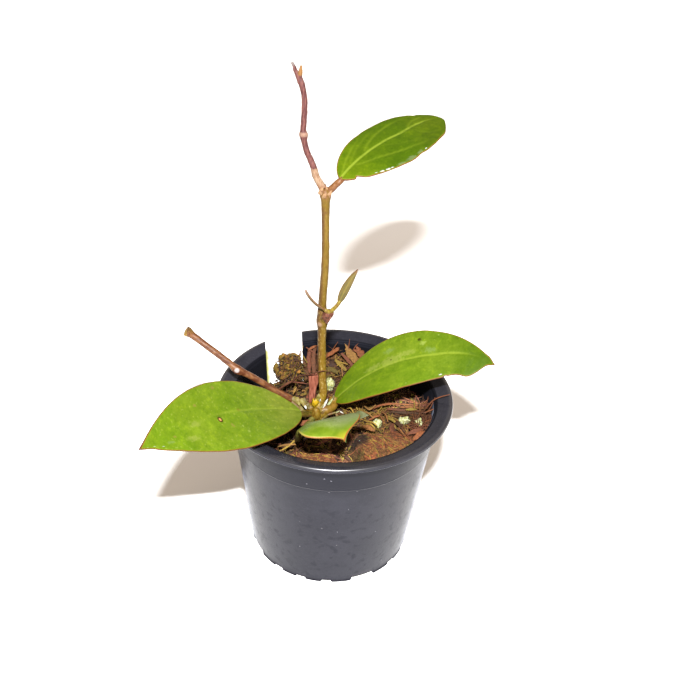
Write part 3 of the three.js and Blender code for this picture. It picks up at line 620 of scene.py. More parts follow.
def vine_finish():
    f = Finish("old_vine", Specular_IOR_Level=0.25)
    across = f.axis("X")
    grain = f.stretched(0.2, 1, 0.35)
    streak = f.noise(1.2, 3, place=grain)
    colour = f.blend(streak, 0.38, 0.66, tone(122, 66, 34), tone(172, 114, 66))
    olive_side = f.between(f.axis("Z") + across * 0.68 + (streak - 0.5) * 2, 58.6, 60.2)
    colour = f.mix(olive_side * f.between(f.noise(0.2, 2), 0.4, 0.6) * 0.7, colour, tone(136, 112, 44))
    colour = f.mix(f.between(f.noise(1.1, 2), 0.66, 0.74) * 0.4, colour, tone(196, 156, 110))
    pale = f.between(across, -19.5, -14)
    colour = f.mix(pale * f.between(streak, 0.3, 0.6), colour, tone(196, 168, 112))
    colour = f.mix(f.near(VINE_SCAR, 0.7, 1.3), colour, tone(240, 226, 222))
    end = f.between(across, -62.3, -62.8)
    face = f.blend(f.noise(1.4, 2), 0.4, 0.6, tone(236, 196, 70), tone(200, 148, 56))
    colour = f.mix(end, colour, face)
    return f.done(colour, 0.38 + streak * 0.2, streak, 0.2)


# Plant: leaves

# bites: (side, s, reach, share of the half-width taken away; a negative share swells the margin)
# veins: (reach in v, s where it leaves the rib, s where it ends, strength)
LEAF_COMMON = dict(turn=0, twist=0, dish=0, fold=(0, 0), thick=1.5, edge=0.8, rib_end=0, bites=(), veins=())
LEAVES = {
    "leaf_right": dict(
        base=(0.2, 5.5, 68.1), length=76.6, left=14, right=14.8, heading=15.2, turn=-49.5, pitch=49.1, bend=-47.9,
        roll=-6.1, twist=57.7, dish=0.06, alpha=0.55, beta=0.9, rib_end=0.3,
        bites=[(-1, 0.735, 0.012, 0.05), (-1, 0.89, 0.06, -0.5), (-1, 0.965, 0.025, 0.35), (1, 0.965, 0.02, -0.2)],
        veins=[(-0.52, 0.08, 0.66, 0.9), (0.72, 0.1, 0.62, 0.35), (0.8, 0.7, 0.84, 0.5), (-0.7, 0.5, 0.86, 0.25),
               (0.7, 0.4, 0.78, 0.3)],
        stalk=[[-6.4, 0.9, 66.2, 2.1], [-3.6, 1, 66.6, 2], [-1.2, 2.6, 66.8, 1.8], [0.3, 5.2, 67.6, 1.6],
               [2.6, 6.1, 70.1, 0.9]]),
    "leaf_left": dict(
        base=(-14.5, -6.1, 70.5), length=94.6, left=17.9, right=14.1, heading=213.3, turn=37, pitch=26.8, bend=-13,
        roll=-8.2, twist=-43.3, dish=0.17, alpha=0.66, beta=1.05,
        bites=[(1, 0.94, 0.03, 0.16), (1, 0.6, 0.2, -0.08)],
        veins=[(-0.75, 0.14, 0.22, 0.6), (0.7, 0.15, 0.6, 0.2), (-0.7, 0.4, 0.75, 0.2), (0.6, 0.5, 0.85, 0.2)],
        stalk=[[-8, 0.4, 65.4, 1.5], [-11, -2.4, 66.6, 1.3], [-14.3, -5.9, 69.2, 1.3], [-17.4, -8, 71.1, 0.9]]),
    "leaf_top": dict(
        base=(-1.8, 16, 167.6), length=56, left=11, right=16.4, heading=61, turn=-43, pitch=19.3, bend=-13.1,
        roll=9.2, dish=0.035, alpha=0.67, beta=0.56, rib_end=0.4,
        bites=[(1, 0.823, 0.018, 0.06), (-1, 0.085, 0.022, 0.3), (-1, 0.955, 0.045, -0.14), (1, 0.4, 0.03, 0.02),
               (-1, 0.62, 0.04, 0.02)],
        veins=[(0.82, 0.3, 0.8, 1), (0.82, 0, 0.42, 0.9), (0.8, 0.71, 0.9, 0.8), (-0.82, 0.15, 0.9, 1),
               (-0.7, 0.74, 0.95, 0.4), (0.85, 0.14, 0.6, 0.5), (-0.6, 0.45, 0.8, 0.3)],
        stalk=[[-7, 16, 161.8, 1.6], [-5.2, 16, 163.3, 1.45], [-3.4, 16, 165.4, 1.35], [-1.9, 16.2, 166.9, 1.3],
               [0, 18.8, 167.9, 0.8]]),
    "leaf_front": dict(
        base=(-13.7, -29.8, 78.8), length=31.4, left=16, right=11, heading=-6.4, turn=-72.4, pitch=53.7,
        bend=-65.3, roll=-26, twist=70.3, fold=(-21, 0), alpha=1.03, beta=1.41, thick=1.4,
        bites=[(1, 0.93, 0.14, 0.5)],
        stalk=[[-8.6, -1, 64.2, 1.4], [-11.8, -7, 63.2, 1.35], [-14.2, -15, 64.4, 1.3], [-14.6, -22, 68.4, 1.25],
               [-14.2, -27.4, 74.6, 1.15], [-13.7, -29.6, 78.2, 1.05], [-12.4, -30.2, 80.4, 0.8]]),
    "shoot_leaf_right": dict(
        base=(-0.2, 5, 118.2), length=17.4, left=1.8, right=1.8, heading=4, pitch=74, bend=-16, roll=84,
        dish=0.1, alpha=0.5, beta=0.8, thick=1, edge=0.7,
        stalk=[[-3.4, 5.6, 113.4, 1], [-1.6, 5.2, 116, 0.85], [-0.3, 5, 118, 0.85], [0.2, 5, 119.6, 0.6]]),
    "shoot_leaf_left": dict(
        base=(-5.2, 5, 114.4), length=12.6, left=1.5, right=1.5, heading=172, pitch=20, bend=48, roll=36,
        dish=0.1, alpha=0.45, beta=0.7, thick=1, edge=0.7,
        stalk=[[-3.9, 5.6, 113, 1.1], [-5.1, 5.1, 114.2, 0.9], [-6.4, 5, 115.2, 0.6]]),
}
VEIN_BEND = 0.55


def midrib(leaf, s):
    """The rib's points and its two square directions at s from 0 to 1: heading, pitch and roll change evenly, and the
    rib is the running sum of the directions they give."""
    changes = ("heading", "turn"), ("pitch", "bend"), ("roll", "twist")

    def angles(u):
        return [np.radians(leaf[first] + leaf[change] * u) for first, change in changes]

    parts = 400
    steps = pointing(*angles((np.arange(parts) + 0.5) / parts)[:2]) * leaf["length"] / parts
    track = np.vstack([np.zeros(3), np.cumsum(steps, axis=0)]) + leaf["base"]
    centre = np.stack([np.interp(s, np.linspace(0, 1, parts + 1), track[:, axis]) for axis in range(3)], -1)
    heading, pitch, roll = angles(s)
    level = xyz(-np.sin(heading), np.cos(heading), 0)
    upright = np.cross(pointing(heading, pitch), level)
    cosine, sine = np.cos(roll)[:, None], np.sin(roll)[:, None]
    return centre, level * cosine + upright * sine, upright * cosine - level * sine


def outline(leaf, s, v):
    """Half-width at s on v's side: s^alpha (1 - s)^beta scaled to 1 at its widest, less the dips in the margin, with
    a slight waviness."""
    alpha, beta = leaf["alpha"], leaf["beta"]
    widest = alpha / (alpha + beta)
    width = (s / widest) ** alpha * ((1 - s) / (1 - widest)) ** beta
    width = width * np.where(v > 0, leaf["left"], leaf["right"])
    for side, place, reach, depth in leaf["bites"]:
        width = width * (1 - depth * np.exp(-((s - place) / reach) ** 2) * (side * v > 0))
    wave = xyz(s * leaf["length"], np.sign(v) * 40, 0)
    return width * (1 + 0.012 * rough(wave, 7, 2, 97))


def vein_strength(leaf, s, v, width, half):
    """Side veins from 0 to 1: each runs v = reach * t^0.55 with t from 0 to 1 between the places where it leaves the
    rib and where it ends, and fades at a half-width in millimetres and at both ends."""
    total = np.zeros_like(s)
    for reach, start, end, strength in leaf["veins"]:
        t = np.clip((s - start) / (end - start), 0, 1)
        away = np.abs(v - reach * t ** VEIN_BEND) * width
        fade = ease(t / 0.05) * ease((1 - t) / 0.5) * strength
        total = np.maximum(total, np.exp(-(away / half) ** 2) * fade)
    return total


def blade(leaf, rows, around, seed):
    """A leaf's closed skin. Round it q runs 0 to a turn, and v = cos q goes from margin to margin; the point is
    rib + side * width * v + normal * (dish, fold, and half the thickness, rounded off at the margin)."""
    s = (1 - np.cos(np.pi * (np.arange(rows) + 0.6) / (rows + 0.2))) / 2
    q = (np.arange(around) + 0.5) / around * TURN
    v = np.cos(q)[None] + 0 * s[:, None]
    s2 = s[:, None] + 0 * v
    upper = (np.sin(q) > 0)[None] + 0 * s2 > 0
    centre, side, normal = midrib(leaf, s)
    width = outline(leaf, s2, v)
    x = width * v
    fold = np.radians(np.where(v > 0, *leaf["fold"]))
    round_off = np.sqrt(np.clip(1 - np.abs(v) ** 14, 0, 1))
    half = (leaf["edge"] + (leaf["thick"] - leaf["edge"]) * (1 - v**2)) / 2 * round_off
    flat = xyz(s2 * leaf["length"], x, 0)
    large = min(1, leaf["length"] / 40)
    lift = np.abs(x) * np.sin(fold) + leaf["dish"] * width * v**2
    lift = lift + large * 0.35 * ripple(flat, 13, seed) * v**2 + large * 0.1 * rough(flat, 5, 2, seed + 1)
    rib_line = leaf["rib_end"] * ease((s2 - 0.6) / 0.4) * width
    rib = np.exp(-((x - rib_line) / (0.55 * large)) ** 2) * ease((1.02 - s2) / 0.25)
    vein = vein_strength(leaf, s2, v, width, 0.5)
    grain = 0.02 * rough(flat, 1.3, 2, seed + 3)
    above = half - large * (0.2 * rib + 0.1 * vein) + grain
    below = -half - large * (0.5 * rib + 0.1 * vein)
    skin_lift = np.where(upper, above, below)
    skin = centre[:, None] + side[:, None] * (x * np.cos(fold))[..., None]
    skin = skin + normal[:, None] * (lift + skin_lift)[..., None]
    values = dict(along=s2, across=v, upper=upper, rib=rib, vein=vein, margin=width * (1 - np.abs(v)))
    return batch(skin), {key: spread(value) for key, value in values.items()}


# What each kind of mark looks like: its colour, how strong it is and how far it is stretched along the leaf; glint
# marks are painted highlights and greyish sheen marks are painted sheen
MARK_KINDS = {
    "dark": (tone(70, 66, 14), 0.9, 1), "brown": (tone(150, 130, 44), 0.55, 1), "sore": (tone(250, 180, 110), 1, 1),
    "pale": (tone(190, 210, 100), 0.6, 1), "mist": (tone(158, 186, 104), 0.45, 1.6),
    "pink": (tone(176, 160, 76), 0.6, 1), "faded": (tone(182, 196, 88), 0.5, 2.6),
    "grey": (tone(148, 164, 112), 0.55, 3), "glint": (tone(255, 255, 250), 0.95, 2.6)}


def leaf_finish(name, leaf, marks, flecked, veined, base, middle, tip, rib_strength, rib_reach):
    """Green skin that changes from base to tip, with a pale rib and side veins, mottling, pale flecks, a brown margin
    and the leaf's own marks in runs of a kind, each mark (s, v, radius in millimetres); among the marks, glints are
    painted highlights and greyish sheens are painted sheen. Flecks show where the noise is above flecked."""
    f = Finish(name, Specular_IOR_Level=0.07)
    s, v, upper, out = f.read("along"), f.read("across"), f.read("upper"), f.read("margin")
    length = leaf["length"]
    half = (leaf["left"] + leaf["right"]) / 2
    place = f.vector(s * length, v * half, 0.0)
    mottle = f.noise(0.13, 4)
    blotch = f.noise(0.42, 3, roughness=0.6)
    fine = f.noise(1.1, 4, roughness=0.6)
    colour = f.blend(s, 0.05, 0.45, base, middle)
    colour = f.blend(s, 0.55, 0.95, colour, tip)
    patch = f.noise(0.055, 3)
    colour = f.tint(f.between(mottle, 0.36, 0.64), colour, 0.82, 0.86, 0.68)
    colour = f.blend(patch, 0.4, 0.6, f.tint(1.0, colour, 0.9, 0.95, 0.62),
                   f.tint(1.0, colour, 1.07, 1.04, 0.9))
    colour = f.tint(f.between(blotch, 0.54, 0.7) * 0.6, colour, 1.5, 1.35, 1.3)
    colour = f.tint(f.between(blotch, 0.46, 0.34) * 0.5, colour, 0.66, 0.76, 0.4)
    colour = f.tint(f.between(fine, 0.5, 0.66) * 0.5, colour, 1.28, 1.18, 1.5)
    colour = f.tint(f.between(fine, 0.46, 0.34) * 0.5, colour, 0.8, 0.87, 0.55)
    colour = f.mix(f.read("vein") * veined * 0.8, colour, tone(166, 190, 46))
    streak = f.between(f.noise(0.3, 2), 0.3, 0.5) * 0.4 + 0.6
    rib = f.between(f.read("rib"), 0.12, 0.8) * f.between(s, rib_reach + 0.25, rib_reach) * streak
    colour = f.mix(rib * rib_strength * 0.78, colour, tone(182, 204, 66))
    # The leaf's marks, painted highlights and painted sheen among them
    for kind, mark_s, mark_v, radius in ((kind, *mark) for kind, *group in marks for mark in group):
        shade, strength, stretch = MARK_KINDS[kind]
        offset = f.node("VectorMath", {0: place, 1: (mark_s * length, mark_v * half, 0)}, operation="SUBTRACT")
        offset = f.node("VectorMath", {0: offset, 1: (1 / stretch, 1, 1)}, operation="MULTIPLY")
        away = f.node("VectorMath", {0: offset}, out="Value", operation="LENGTH")
        if kind == "sore":
            colour = f.mix(f.between(away, radius * 1.5, radius), colour, tone(84, 60, 14))
            colour = f.mix(f.between(away, radius * 0.8, radius * 0.5), colour, shade)
        else:
            torn = away + (f.noise(0.9, 3) - 0.5) * (radius * 1.8)
            colour = f.mix(f.between(torn, radius, radius * 0.3) * strength, colour, shade)
    fleck = f.noise(0.95, 2, roughness=0.4)
    colour = f.mix(f.between(fleck, flecked, flecked + 0.06) * 0.5, colour, tone(188, 206, 84))
    under = f.blend(mottle, 0.3, 0.7, tone(140, 164, 76), tone(158, 178, 92))
    under = f.mix(rib * 0.5, under, tone(190, 200, 120))
    colour = f.mix(upper, under, colour)
    edge = out + (f.noise(0.25, 2) - 0.5) * 0.5
    colour = f.mix(f.between(edge, 0.75, 0.3) * 0.8, colour, tone(170, 150, 46))
    colour = f.blend(edge, 0.4, 0.12, colour, tone(140, 82, 42))
    roughness = 0.42 + f.between(fine, 0.3, 0.8) * 0.14
    return f.done(colour, roughness, fine * 0.4 + blotch * 0.6, 0.12)


def front_finish(leaf):
    """The curled leaf: a greyish sheen painted over its upper half, fresh green below, and a yellow tip that turns
    orange.
    """
    f = Finish("curled_leaf_green", Specular_IOR_Level=0.12)
    s, v, upper, out = f.read("along"), f.read("across"), f.read("upper"), f.read("margin")
    mottle = f.noise(0.3, 4)
    fine = f.noise(1.4, 2)
    colour = f.blend(mottle, 0.35, 0.65, tone(124, 156, 24), tone(144, 172, 38))
    # Painted sheen: greyish over the upper half, where the blade curls away
    painted_sheen = f.between(v + (mottle - 0.5) * 0.8, -0.5, 0.35) * f.between(s, 0.85, 0.6)
    grey = f.blend(fine, 0.35, 0.65, tone(158, 176, 112), tone(184, 196, 140))
    colour = f.mix(painted_sheen * 0.8, colour, grey)
    colour = f.blend(s, 0.12, 0.02, colour, tone(112, 146, 46))
    colour = f.blend(s, 0.8, 0.95, colour, tone(206, 200, 52))
    colour = f.blend(s, 0.94, 0.99, colour, tone(220, 160, 80))
    edge = out + (f.noise(0.25, 2) - 0.5) * 0.4
    colour = f.mix(f.between(edge, 1.1, 0.5) * f.between(v, 0.3, -0.3) * 0.8, colour, tone(216, 204, 96))
    colour = f.mix(f.between(edge, 0.5, 0.2) * f.between(s, 0.3, 0.5), colour, tone(196, 120, 52))
    colour = f.mix(upper, f.blend(mottle, 0.3, 0.7, tone(120, 144, 70), tone(140, 160, 84)), colour)
    return f.done(colour, 0.4 + fine * 0.15, fine * 0.4 + mottle * 0.6, 0.12)


def stalk_finish(name, first, second, purple=0.0):
    f = Finish(name, Specular_IOR_Level=0.2)
    streak = f.noise(0.9, 3)
    colour = f.blend(streak, 0.35, 0.65, first, second)
    colour = f.mix(f.between(f.noise(0.35, 2), 0.5, 0.64) * purple, colour, tone(150, 92, 66))
    return f.done(colour, 0.4 + streak * 0.15, streak, 0.1)


def young_finish():
    f = Finish("young_leaf", Specular_IOR_Level=0.4)
    s, out = f.read("along"), f.math("ABSOLUTE", f.read("across"))
    colour = f.blend(f.noise(0.4, 2), 0.35, 0.65, tone(112, 98, 18), tone(136, 112, 26))
    colour = f.mix(f.between(out, 0.25, 0.02) * 0.5, colour, tone(180, 160, 50))
    colour = f.mix(f.between(s, 0.8, 1) * 0.8, colour, tone(150, 90, 50))
    colour = f.blend(out, 0.8, 0.98, colour, tone(140, 92, 42))
    return f.done(colour, 0.4 + f.noise(1, 2) * 0.15, f.noise(1.2, 2), 0.08)


# Growing medium

def medium_height(x, y):
    """The medium's surface: higher at the back and right, hollow at the front left, uneven by two crossed waves."""
    back = BACK_RISE["height"] * ease((y - BACK_RISE["start"]) / BACK_RISE["over"])
    right = RIGHT_RISE["height"] * ease((x - RIGHT_RISE["start"]) / RIGHT_RISE["over"])
    away = np.hypot(x - HOLLOW["x"], y - HOLLOW["y"]) / HOLLOW["spread"]
    uneven = 0.9 * np.sin(0.41 * x + 1.3) * np.cos(0.37 * y) + 0.6 * np.sin(0.83 * y + 0.5 * x)
    return MEDIUM_LEVEL + back + right - HOLLOW["depth"] * np.exp(-away**2 / 2) + uneven


def inner_radius(z):
    """The pot wall's inside radius at a height."""
    heights = [FLOOR_THICKNESS, STEP_HEIGHT, LEDGE_HEIGHT]
    return np.interp(z, heights, [INNER_FOOT_RADIUS, INNER_STEP_RADIUS, LEDGE_RADIUS])


def within_wall(points, clearance=GAP):
    """Points pushed towards the axis until they clear the pot's wall."""
    reach = np.hypot(points[..., 0], points[..., 1])
    limit = inner_radius(points[..., 2]) - clearance
    squeeze = np.minimum(1, limit / np.maximum(reach, 1e-6))
    return points * np.stack([squeeze, squeeze, np.ones_like(squeeze)], -1)


def medium_skin(rings=190, spokes=440):
    """The medium's body: a disc of rings at the surface height, sunk a little and broken by crumbs and pits, then
    down to a flat underside."""
    reach = np.linspace(0.004, 1, rings)[:, None] * (INNER_STEP_RADIUS - 0.6)
    turn = np.arange(spokes)[None] / spokes * TURN
    x, y = reach * np.cos(turn), reach * np.sin(turn)
    flat = xyz(x, y, 0)
    crumbs = 2.2 * np.abs(rough(flat, 6, 3, 51)) + 0.5 * rough(flat, 1.6, 2, 52) - 1.8
    top = within_wall(xyz(x, y, medium_height(x, y) + crumbs), GAP + 0.05)
    rows = [(0.5 * (INNER_FOOT_RADIUS + INNER_STEP_RADIUS) - 0.6, 30), (FOOT_RADIUS - 2.8, FLOOR_THICKNESS + GAP),
            (1, FLOOR_THICKNESS + GAP)]
    below = np.stack([xyz(r * np.cos(turn[0]), r * np.sin(turn[0]), z) for r, z in rows])
    return np.concatenate([top, below])[::-1]


def turned(yaw, pitch, roll):
    """Turning matrices for arrays of angles in radians: roll about x, then pitch about y, then yaw about z."""
    cy, sy, cp, sp, cr, sr = np.cos(yaw), np.sin(yaw), np.cos(pitch), np.sin(pitch), np.cos(roll), np.sin(roll)
    rows = [[cy * cp, cy * sp * sr - sy * cr, cy * sp * cr + sy * sr],
            [sy * cp, sy * sp * sr + cy * cr, sy * sp * cr - cy * sr], [-sp, cp * sr, cp * cr]]
    return np.moveaxis(np.array(rows), -1, 0)


def shreds(count, seed, places, sizes, tilt=0.45, rows=8, sides=8, ragged=0.2):
    """Torn strips of bark and husk: flattened tubes that taper, bow and twist. places are (x, y, z) of their middles,
    sizes their length, width and thickness. Gives (count, rows, sides, 3)."""
    draw = np.random.default_rng(seed)
    t = np.linspace(-1, 1, rows)[None, :, None]
    q = np.arange(sides)[None, None] / sides * TURN
    length, width, thick = (sizes[:, k, None, None] for k in range(3))
    taper = (1 - np.abs(t) ** draw.uniform(2, 9, (count, 1, 1))) * 0.7 + 0.3
    jag = 1 + ragged * draw.standard_normal((count, rows, sides))
    bow = draw.uniform(-0.16, 0.16, (count, 1, 1)) * length * (1 - t**2)
    arch = draw.uniform(-0.08, 0.14, (count, 1, 1)) * length * (1 - t**2)
    twist = draw.uniform(-0.5, 0.5, (count, 1, 1)) * t
    square = blunted(np.cos(q), 0.7), blunted(np.sin(q), 0.7)
    y = (square[0] * np.cos(twist) - square[1] * np.sin(twist) * 0.3) * width / 2 * taper * jag + bow
    z = (square[1] * np.cos(twist) + square[0] * np.sin(twist) * 0.6) * thick / 2 * taper * jag + arch
    x = t * length / 2 + 0.07 * length * (jag - 1)
    frames = turned(draw.uniform(0, TURN, count), draw.normal(0, tilt, count), draw.normal(0, tilt * 1.3, count))
    return np.einsum("nij,nrsj->nrsi", frames, xyz(x, y, z)) + places[:, None, None]


def tubes(paths, radii, sides=4):
    """Thin tubes along many paths at once: centre + radius (cos q side + sin q up), (count, steps, sides, 3)."""
    way = unit(np.gradient(paths, axis=1) + 1e-9)
    level = unit(xyz(-way[..., 1], way[..., 0], 0) + [1e-6, 0, 0])
    upright = np.cross(way, level)
    q = np.arange(sides) / sides * TURN
    spoke = level[:, :, None] * np.cos(q)[:, None] + upright[:, :, None] * np.sin(q)[:, None]
    return paths[:, :, None] + spoke * radii[:, :, None, None]


def fibres(count, seed, starts, headings, climbs, lengths, thick, steps=9, droop=0.5, curl=0.7):
    """Fine fibres: tubes whose direction turns by a random amount along them and sinks by droop."""
    draw = np.random.default_rng(seed)
    t = np.linspace(0, 1, steps)[None]
    heading = headings[:, None] + draw.normal(0, curl, (count, 1)) * t + draw.normal(0, curl, (count, 1)) * t**2
    climb = climbs[:, None] - droop * t + draw.normal(0, 0.3, (count, 1)) * t
    step = pointing(heading, climb) * (lengths[:, None, None] / (steps - 1))
    centre = starts[:, None] + np.cumsum(step, axis=1) - step[:, :1]
    return tubes(centre, thick[:, None] / 2 * (1 - 0.7 * t**2))


def top_of(sheet, x, y, cell=0.6):
    """The height of a lump's top under x and y: the highest of its points in each cell of a fine net."""
    points = sheet.reshape(-1, 3)
    low = points[:, :2].min(axis=0) - cell
    size = np.ceil((points[:, :2].max(axis=0) + cell - low) / cell).astype(int) + 1
    net = np.full(size, -np.inf)
    index = ((points[:, :2] - low) / cell).astype(int)
    np.maximum.at(net, (index[:, 0], index[:, 1]), points[:, 2])
    column = np.clip(((x - low[0]) / cell).astype(int), 0, size[0] - 1)
    row = np.clip(((y - low[1]) / cell).astype(int), 0, size[1] - 1)
    return np.maximum(net[column, row], medium_height(x, y))


def draped(sheet, starts, headings, lengths, thick, seed, steps=10):
    """Fibres that lie on a lump: their way across it bends a little, and their height is its top's."""
    draw = np.random.default_rng(seed)
    t = np.linspace(0, 1, steps)[None]
    heading = headings[:, None] + draw.normal(0, 0.5, (len(starts), 1)) * t
    x = starts[:, :1] + np.cos(heading) * lengths[:, None] * t
    y = starts[:, 1:2] + np.sin(heading) * lengths[:, None] * t
    z = top_of(sheet, x, y)
    z = 0.5 * z + 0.25 * (np.roll(z, 1, 1) + np.roll(z, -1, 1)) + thick[:, None] * 0.3
    z[:, 0], z[:, -1] = z[:, 1] - 0.1, z[:, -2] - 0.1
    return tubes(xyz(x, y, z), thick[:, None] / 2 * (1 - 0.6 * t**3))


def torn_strip(knots, width, thick, seed, facing=(0, -0.6, 0.8), rows=30, sides=18):
    """A torn strip along knots [x, y, z, share of the width]: a flat tube, grooved along its length, with ragged
    edges and ends torn back by a different amount in each groove."""
    points, tangents, share = rail(knots, rows)
    normal = unit(np.asarray(facing) - tangents * (tangents @ np.asarray(facing))[:, None])
    side = np.cross(tangents, normal)
    t = np.linspace(0, 1, rows)[:, None]
    q = np.arange(sides)[None] / sides * TURN
    across = blunted(np.cos(q), 0.7)
    through = blunted(np.sin(q), 0.6)
    place = xyz(across * width / 2, seed * 3, t * 1.2)
    groove = ripple(place, 0.55, seed)
    jag = 1 + 0.22 * ripple(xyz(np.sign(across) * 9, seed * 3, t * 9), 1, seed + 1)
    tear = ripple(place * [1, 1, 0], 0.6, seed + 2) * width * 0.5
    shift = tear * (ease((t - 0.75) / 0.25) - ease((0.25 - t) / 0.25))
    half = (share[:, None] * width / 2) * across * jag
    depth = thick / 2 * through * (1 + 0.5 * groove) * (0.55 + 0.45 * ease(np.minimum(t, 1 - t) / 0.12))
    strip = points[:, None] + side[:, None] * half[..., None] + normal[:, None] * depth[..., None]
    return strip + tangents[:, None] * shift[..., None]


def flake(base, tip, width, facing=(0.1, -0.8, 0.6), cup=0.5, ragged=0.0, blunt=0.74, thick=0.24, seed=0):
    """A small thin scale from base to tip: half-width (s / 0.35)^0.4 ((1 - s) / 0.65)^blunt, cupped across, arched
    along and wavy, its edge broken by ragged."""
    base, tip = np.array(base, float), np.array(tip, float)
    rows, around = 20, 24
    s = (np.arange(rows) + 0.5) / rows
    q = (np.arange(around) + 0.5) / around * TURN
    v = np.cos(q)[None]
    along = unit(tip - base)
    side = unit(np.cross(along, facing))
    normal = np.cross(side, along)
    span = np.linalg.norm(tip - base)
    half = width / 2 * (s / 0.35) ** 0.4 * ((1 - s) / 0.65) ** blunt
    place = xyz(s[:, None] * span, np.sign(v) * 9 + seed, 0)
    broken = 1 + ragged * rough(place, 1.4, 2, seed)
    lift = cup * half[:, None] * v**2 + thick / 2 * np.sin(q)[None] + 0.08 * span * np.sin(s * np.pi)[:, None]
    wave = (0.12 + 0.5 * ragged) * ripple(xyz(s[:, None] * span, v * half[:, None], 0), 1.2, seed)
    centre = base + s[:, None] * (tip - base)
    return centre[:, None] + side * (half[:, None] * v * broken)[..., None] + normal * (lift + wave)[..., None]


def scatter(draw, count, reach):
    """Places spread evenly over a disc, on the medium's surface."""
    turn = draw.uniform(0, TURN, count)
    radius = reach * np.sqrt(draw.uniform(0, 1, count))
    x, y = radius * np.cos(turn), radius * np.sin(turn)
    return xyz(x, y, medium_height(x, y))


def clump(draw, count, centre, spread_x, spread_y):
    """Places gathered about a point, on the medium's surface."""
    x = draw.normal(centre[0], spread_x, count)
    y = draw.normal(centre[1], spread_y, count)
    keep = np.minimum(1, 40 / np.maximum(np.hypot(x, y), 1e-6))
    x, y = x * keep, y * keep
    return xyz(x, y, medium_height(x, y))


def piece_tint(values, sheets):
    """One tint for each piece, on all of its points."""
    return spread(np.broadcast_to(np.asarray(values, float)[:, None, None], sheets.shape[:3]))


# The tints of husk and bark, from 0 to 1: pit black, dark brown, brown, reddish, orange, tan, straw, olive
HUSK_TONES = ((0, tone(48, 27, 15)), (0.16, tone(86, 52, 28)), (0.36, tone(124, 77, 36)), (0.5, tone(150, 84, 52)),
              (0.64, tone(182, 104, 52)), (0.76, tone(190, 138, 66)), (0.88, tone(218, 178, 68)),
              (1, tone(124, 104, 26)))
DARK, BROWN, RED, ORANGE, TAN, STRAW, OLIVE = 0.14, 0.36, 0.5, 0.64, 0.76, 0.88, 1.0


def shadow_lift(f):
    """1 under the curled leaf and the right leaf, where painted light lifts their shadows: the pieces there are
    painted paler and more alike.
    """
    return f.math("MAXIMUM", f.near(FRONT_SHADOW_LIFT, 8, 15), f.near(RIGHT_SHADOW_LIFT, 6, 12))


def husk_finish(name, depth=0.25, along=1.5):
    """Husk and bark in each piece's tint, lighter and darker by its grain, with dark pores; painted light lifts the
    shadows under two leaves, painted shadow darkens the deep gap and painted shade darkens the ground by the right
    leaf.
    """
    f = Finish(name, Specular_IOR_Level=0.25)
    grain = f.noise(along, 4, roughness=0.7)
    colour = f.ramp(f.read("tint"), *HUSK_TONES)
    colour = f.tint(f.between(grain, 0.6, 0.36) * 0.6, colour, 0.38, 0.33, 0.3)
    colour = f.mix(f.between(f.noise(2.2, 3), 0.55, 0.68) * 0.6, colour, tone(70, 44, 28))
    colour = f.mix(f.between(f.noise(1.9, 3), 0.62, 0.74) * 0.35, colour, tone(206, 156, 84))
    # Painted light: paler under the two right leaves, lifting their shadows
    colour = f.tint(shadow_lift(f), colour, 2.9, 3.4, 6)
    # Painted shadow: near black in the deep gap by the right chunk
    colour = f.tint(f.near(PAINTED_GAP_SHADOW, 4, 7.5), colour, 0.12, 0.12, 0.12)
    # Painted shade under the right leaf
    colour = f.tint(f.near(LEAF_SHADE, 6, 10), colour, 0.66, 0.74, 0.6)
    return f.done(colour, 0.72 + grain * 0.2, grain, depth)


def medium_finish():
    f = Finish("damp_medium", Specular_IOR_Level=0.2)
    crumbs = f.noise(0.5, 5, roughness=0.7)
    patch = f.noise(0.13, 2)
    colour = f.blend(crumbs, 0.35, 0.7, tone(36, 22, 14), tone(96, 60, 32))
    colour = f.mix(f.between(patch, 0.5, 0.7) * f.between(crumbs, 0.4, 0.6), colour, tone(100, 80, 32))
    # Painted light: paler under the two right leaves, lifting their shadows
    colour = f.mix(shadow_lift(f), colour, tone(112, 80, 62))
    return f.done(colour, 0.8 + crumbs * 0.15, f.noise(1.1, 5, roughness=0.75), 0.7)


# Chunks, grains, splinter and label

def three_turn(angles):
    """The turning matrix of x, y and z angles in degrees, with the z turn made first."""
    x, y, z = np.radians(angles)
    about_x = np.array([[1, 0, 0], [0, np.cos(x), -np.sin(x)], [0, np.sin(x), np.cos(x)]])
    about_y = np.array([[np.cos(y), 0, np.sin(y)], [0, 1, 0], [-np.sin(y), 0, np.cos(y)]])
    about_z = np.array([[np.cos(z), -np.sin(z), 0], [np.sin(z), np.cos(z), 0], [0, 0, 1]])
    return about_x @ about_y @ about_z


def lump(radii, centre, angles, box, roughness, waves, phase, rows, columns, relief):
    """A lump: the sphere's direction raised to the power box, stretched to its radii, swelled by crossed sine waves,
    with relief(point) as finer height along the surface."""
    def shape(way):
        wave = np.sin(waves * 3.1 * way[..., 0] + phase) * np.cos(waves * 2.7 * way[..., 1] - phase)
        wave = wave + np.sin(waves * 3.9 * way[..., 2] + 2 * phase + way[..., 0])
        return blunted(way, box) * (1 + roughness * wave)[..., None] * radii

    skin = shape(sphere(rows, columns))
    skin = skin + unit(skin / np.square(radii)) * relief(skin)[..., None]
    return skin @ three_turn(angles).T + centre


CHUNK_RIGHT = dict(radii=(15.5, 12.3, 7.8), centre=(23, -20.8, 60.2), angles=(-9, 5, 26), box=0.72, roughness=0.045,
                   waves=2.1, phase=1.7)
CHUNK_LEFT = dict(radii=(13, 7.2, 5.6), centre=(-10, -33, 61), angles=(-8, -4, -7), box=0.75, roughness=0.06,
                  waves=2.6, phase=0.4)
MOSS_CLUMP = dict(radii=(4.7, 3, 6.4), centre=(-20.2, 22, 72.4), angles=(0, 10, 0), box=0.9, roughness=0.12,
                  waves=3.2, phase=2.4)
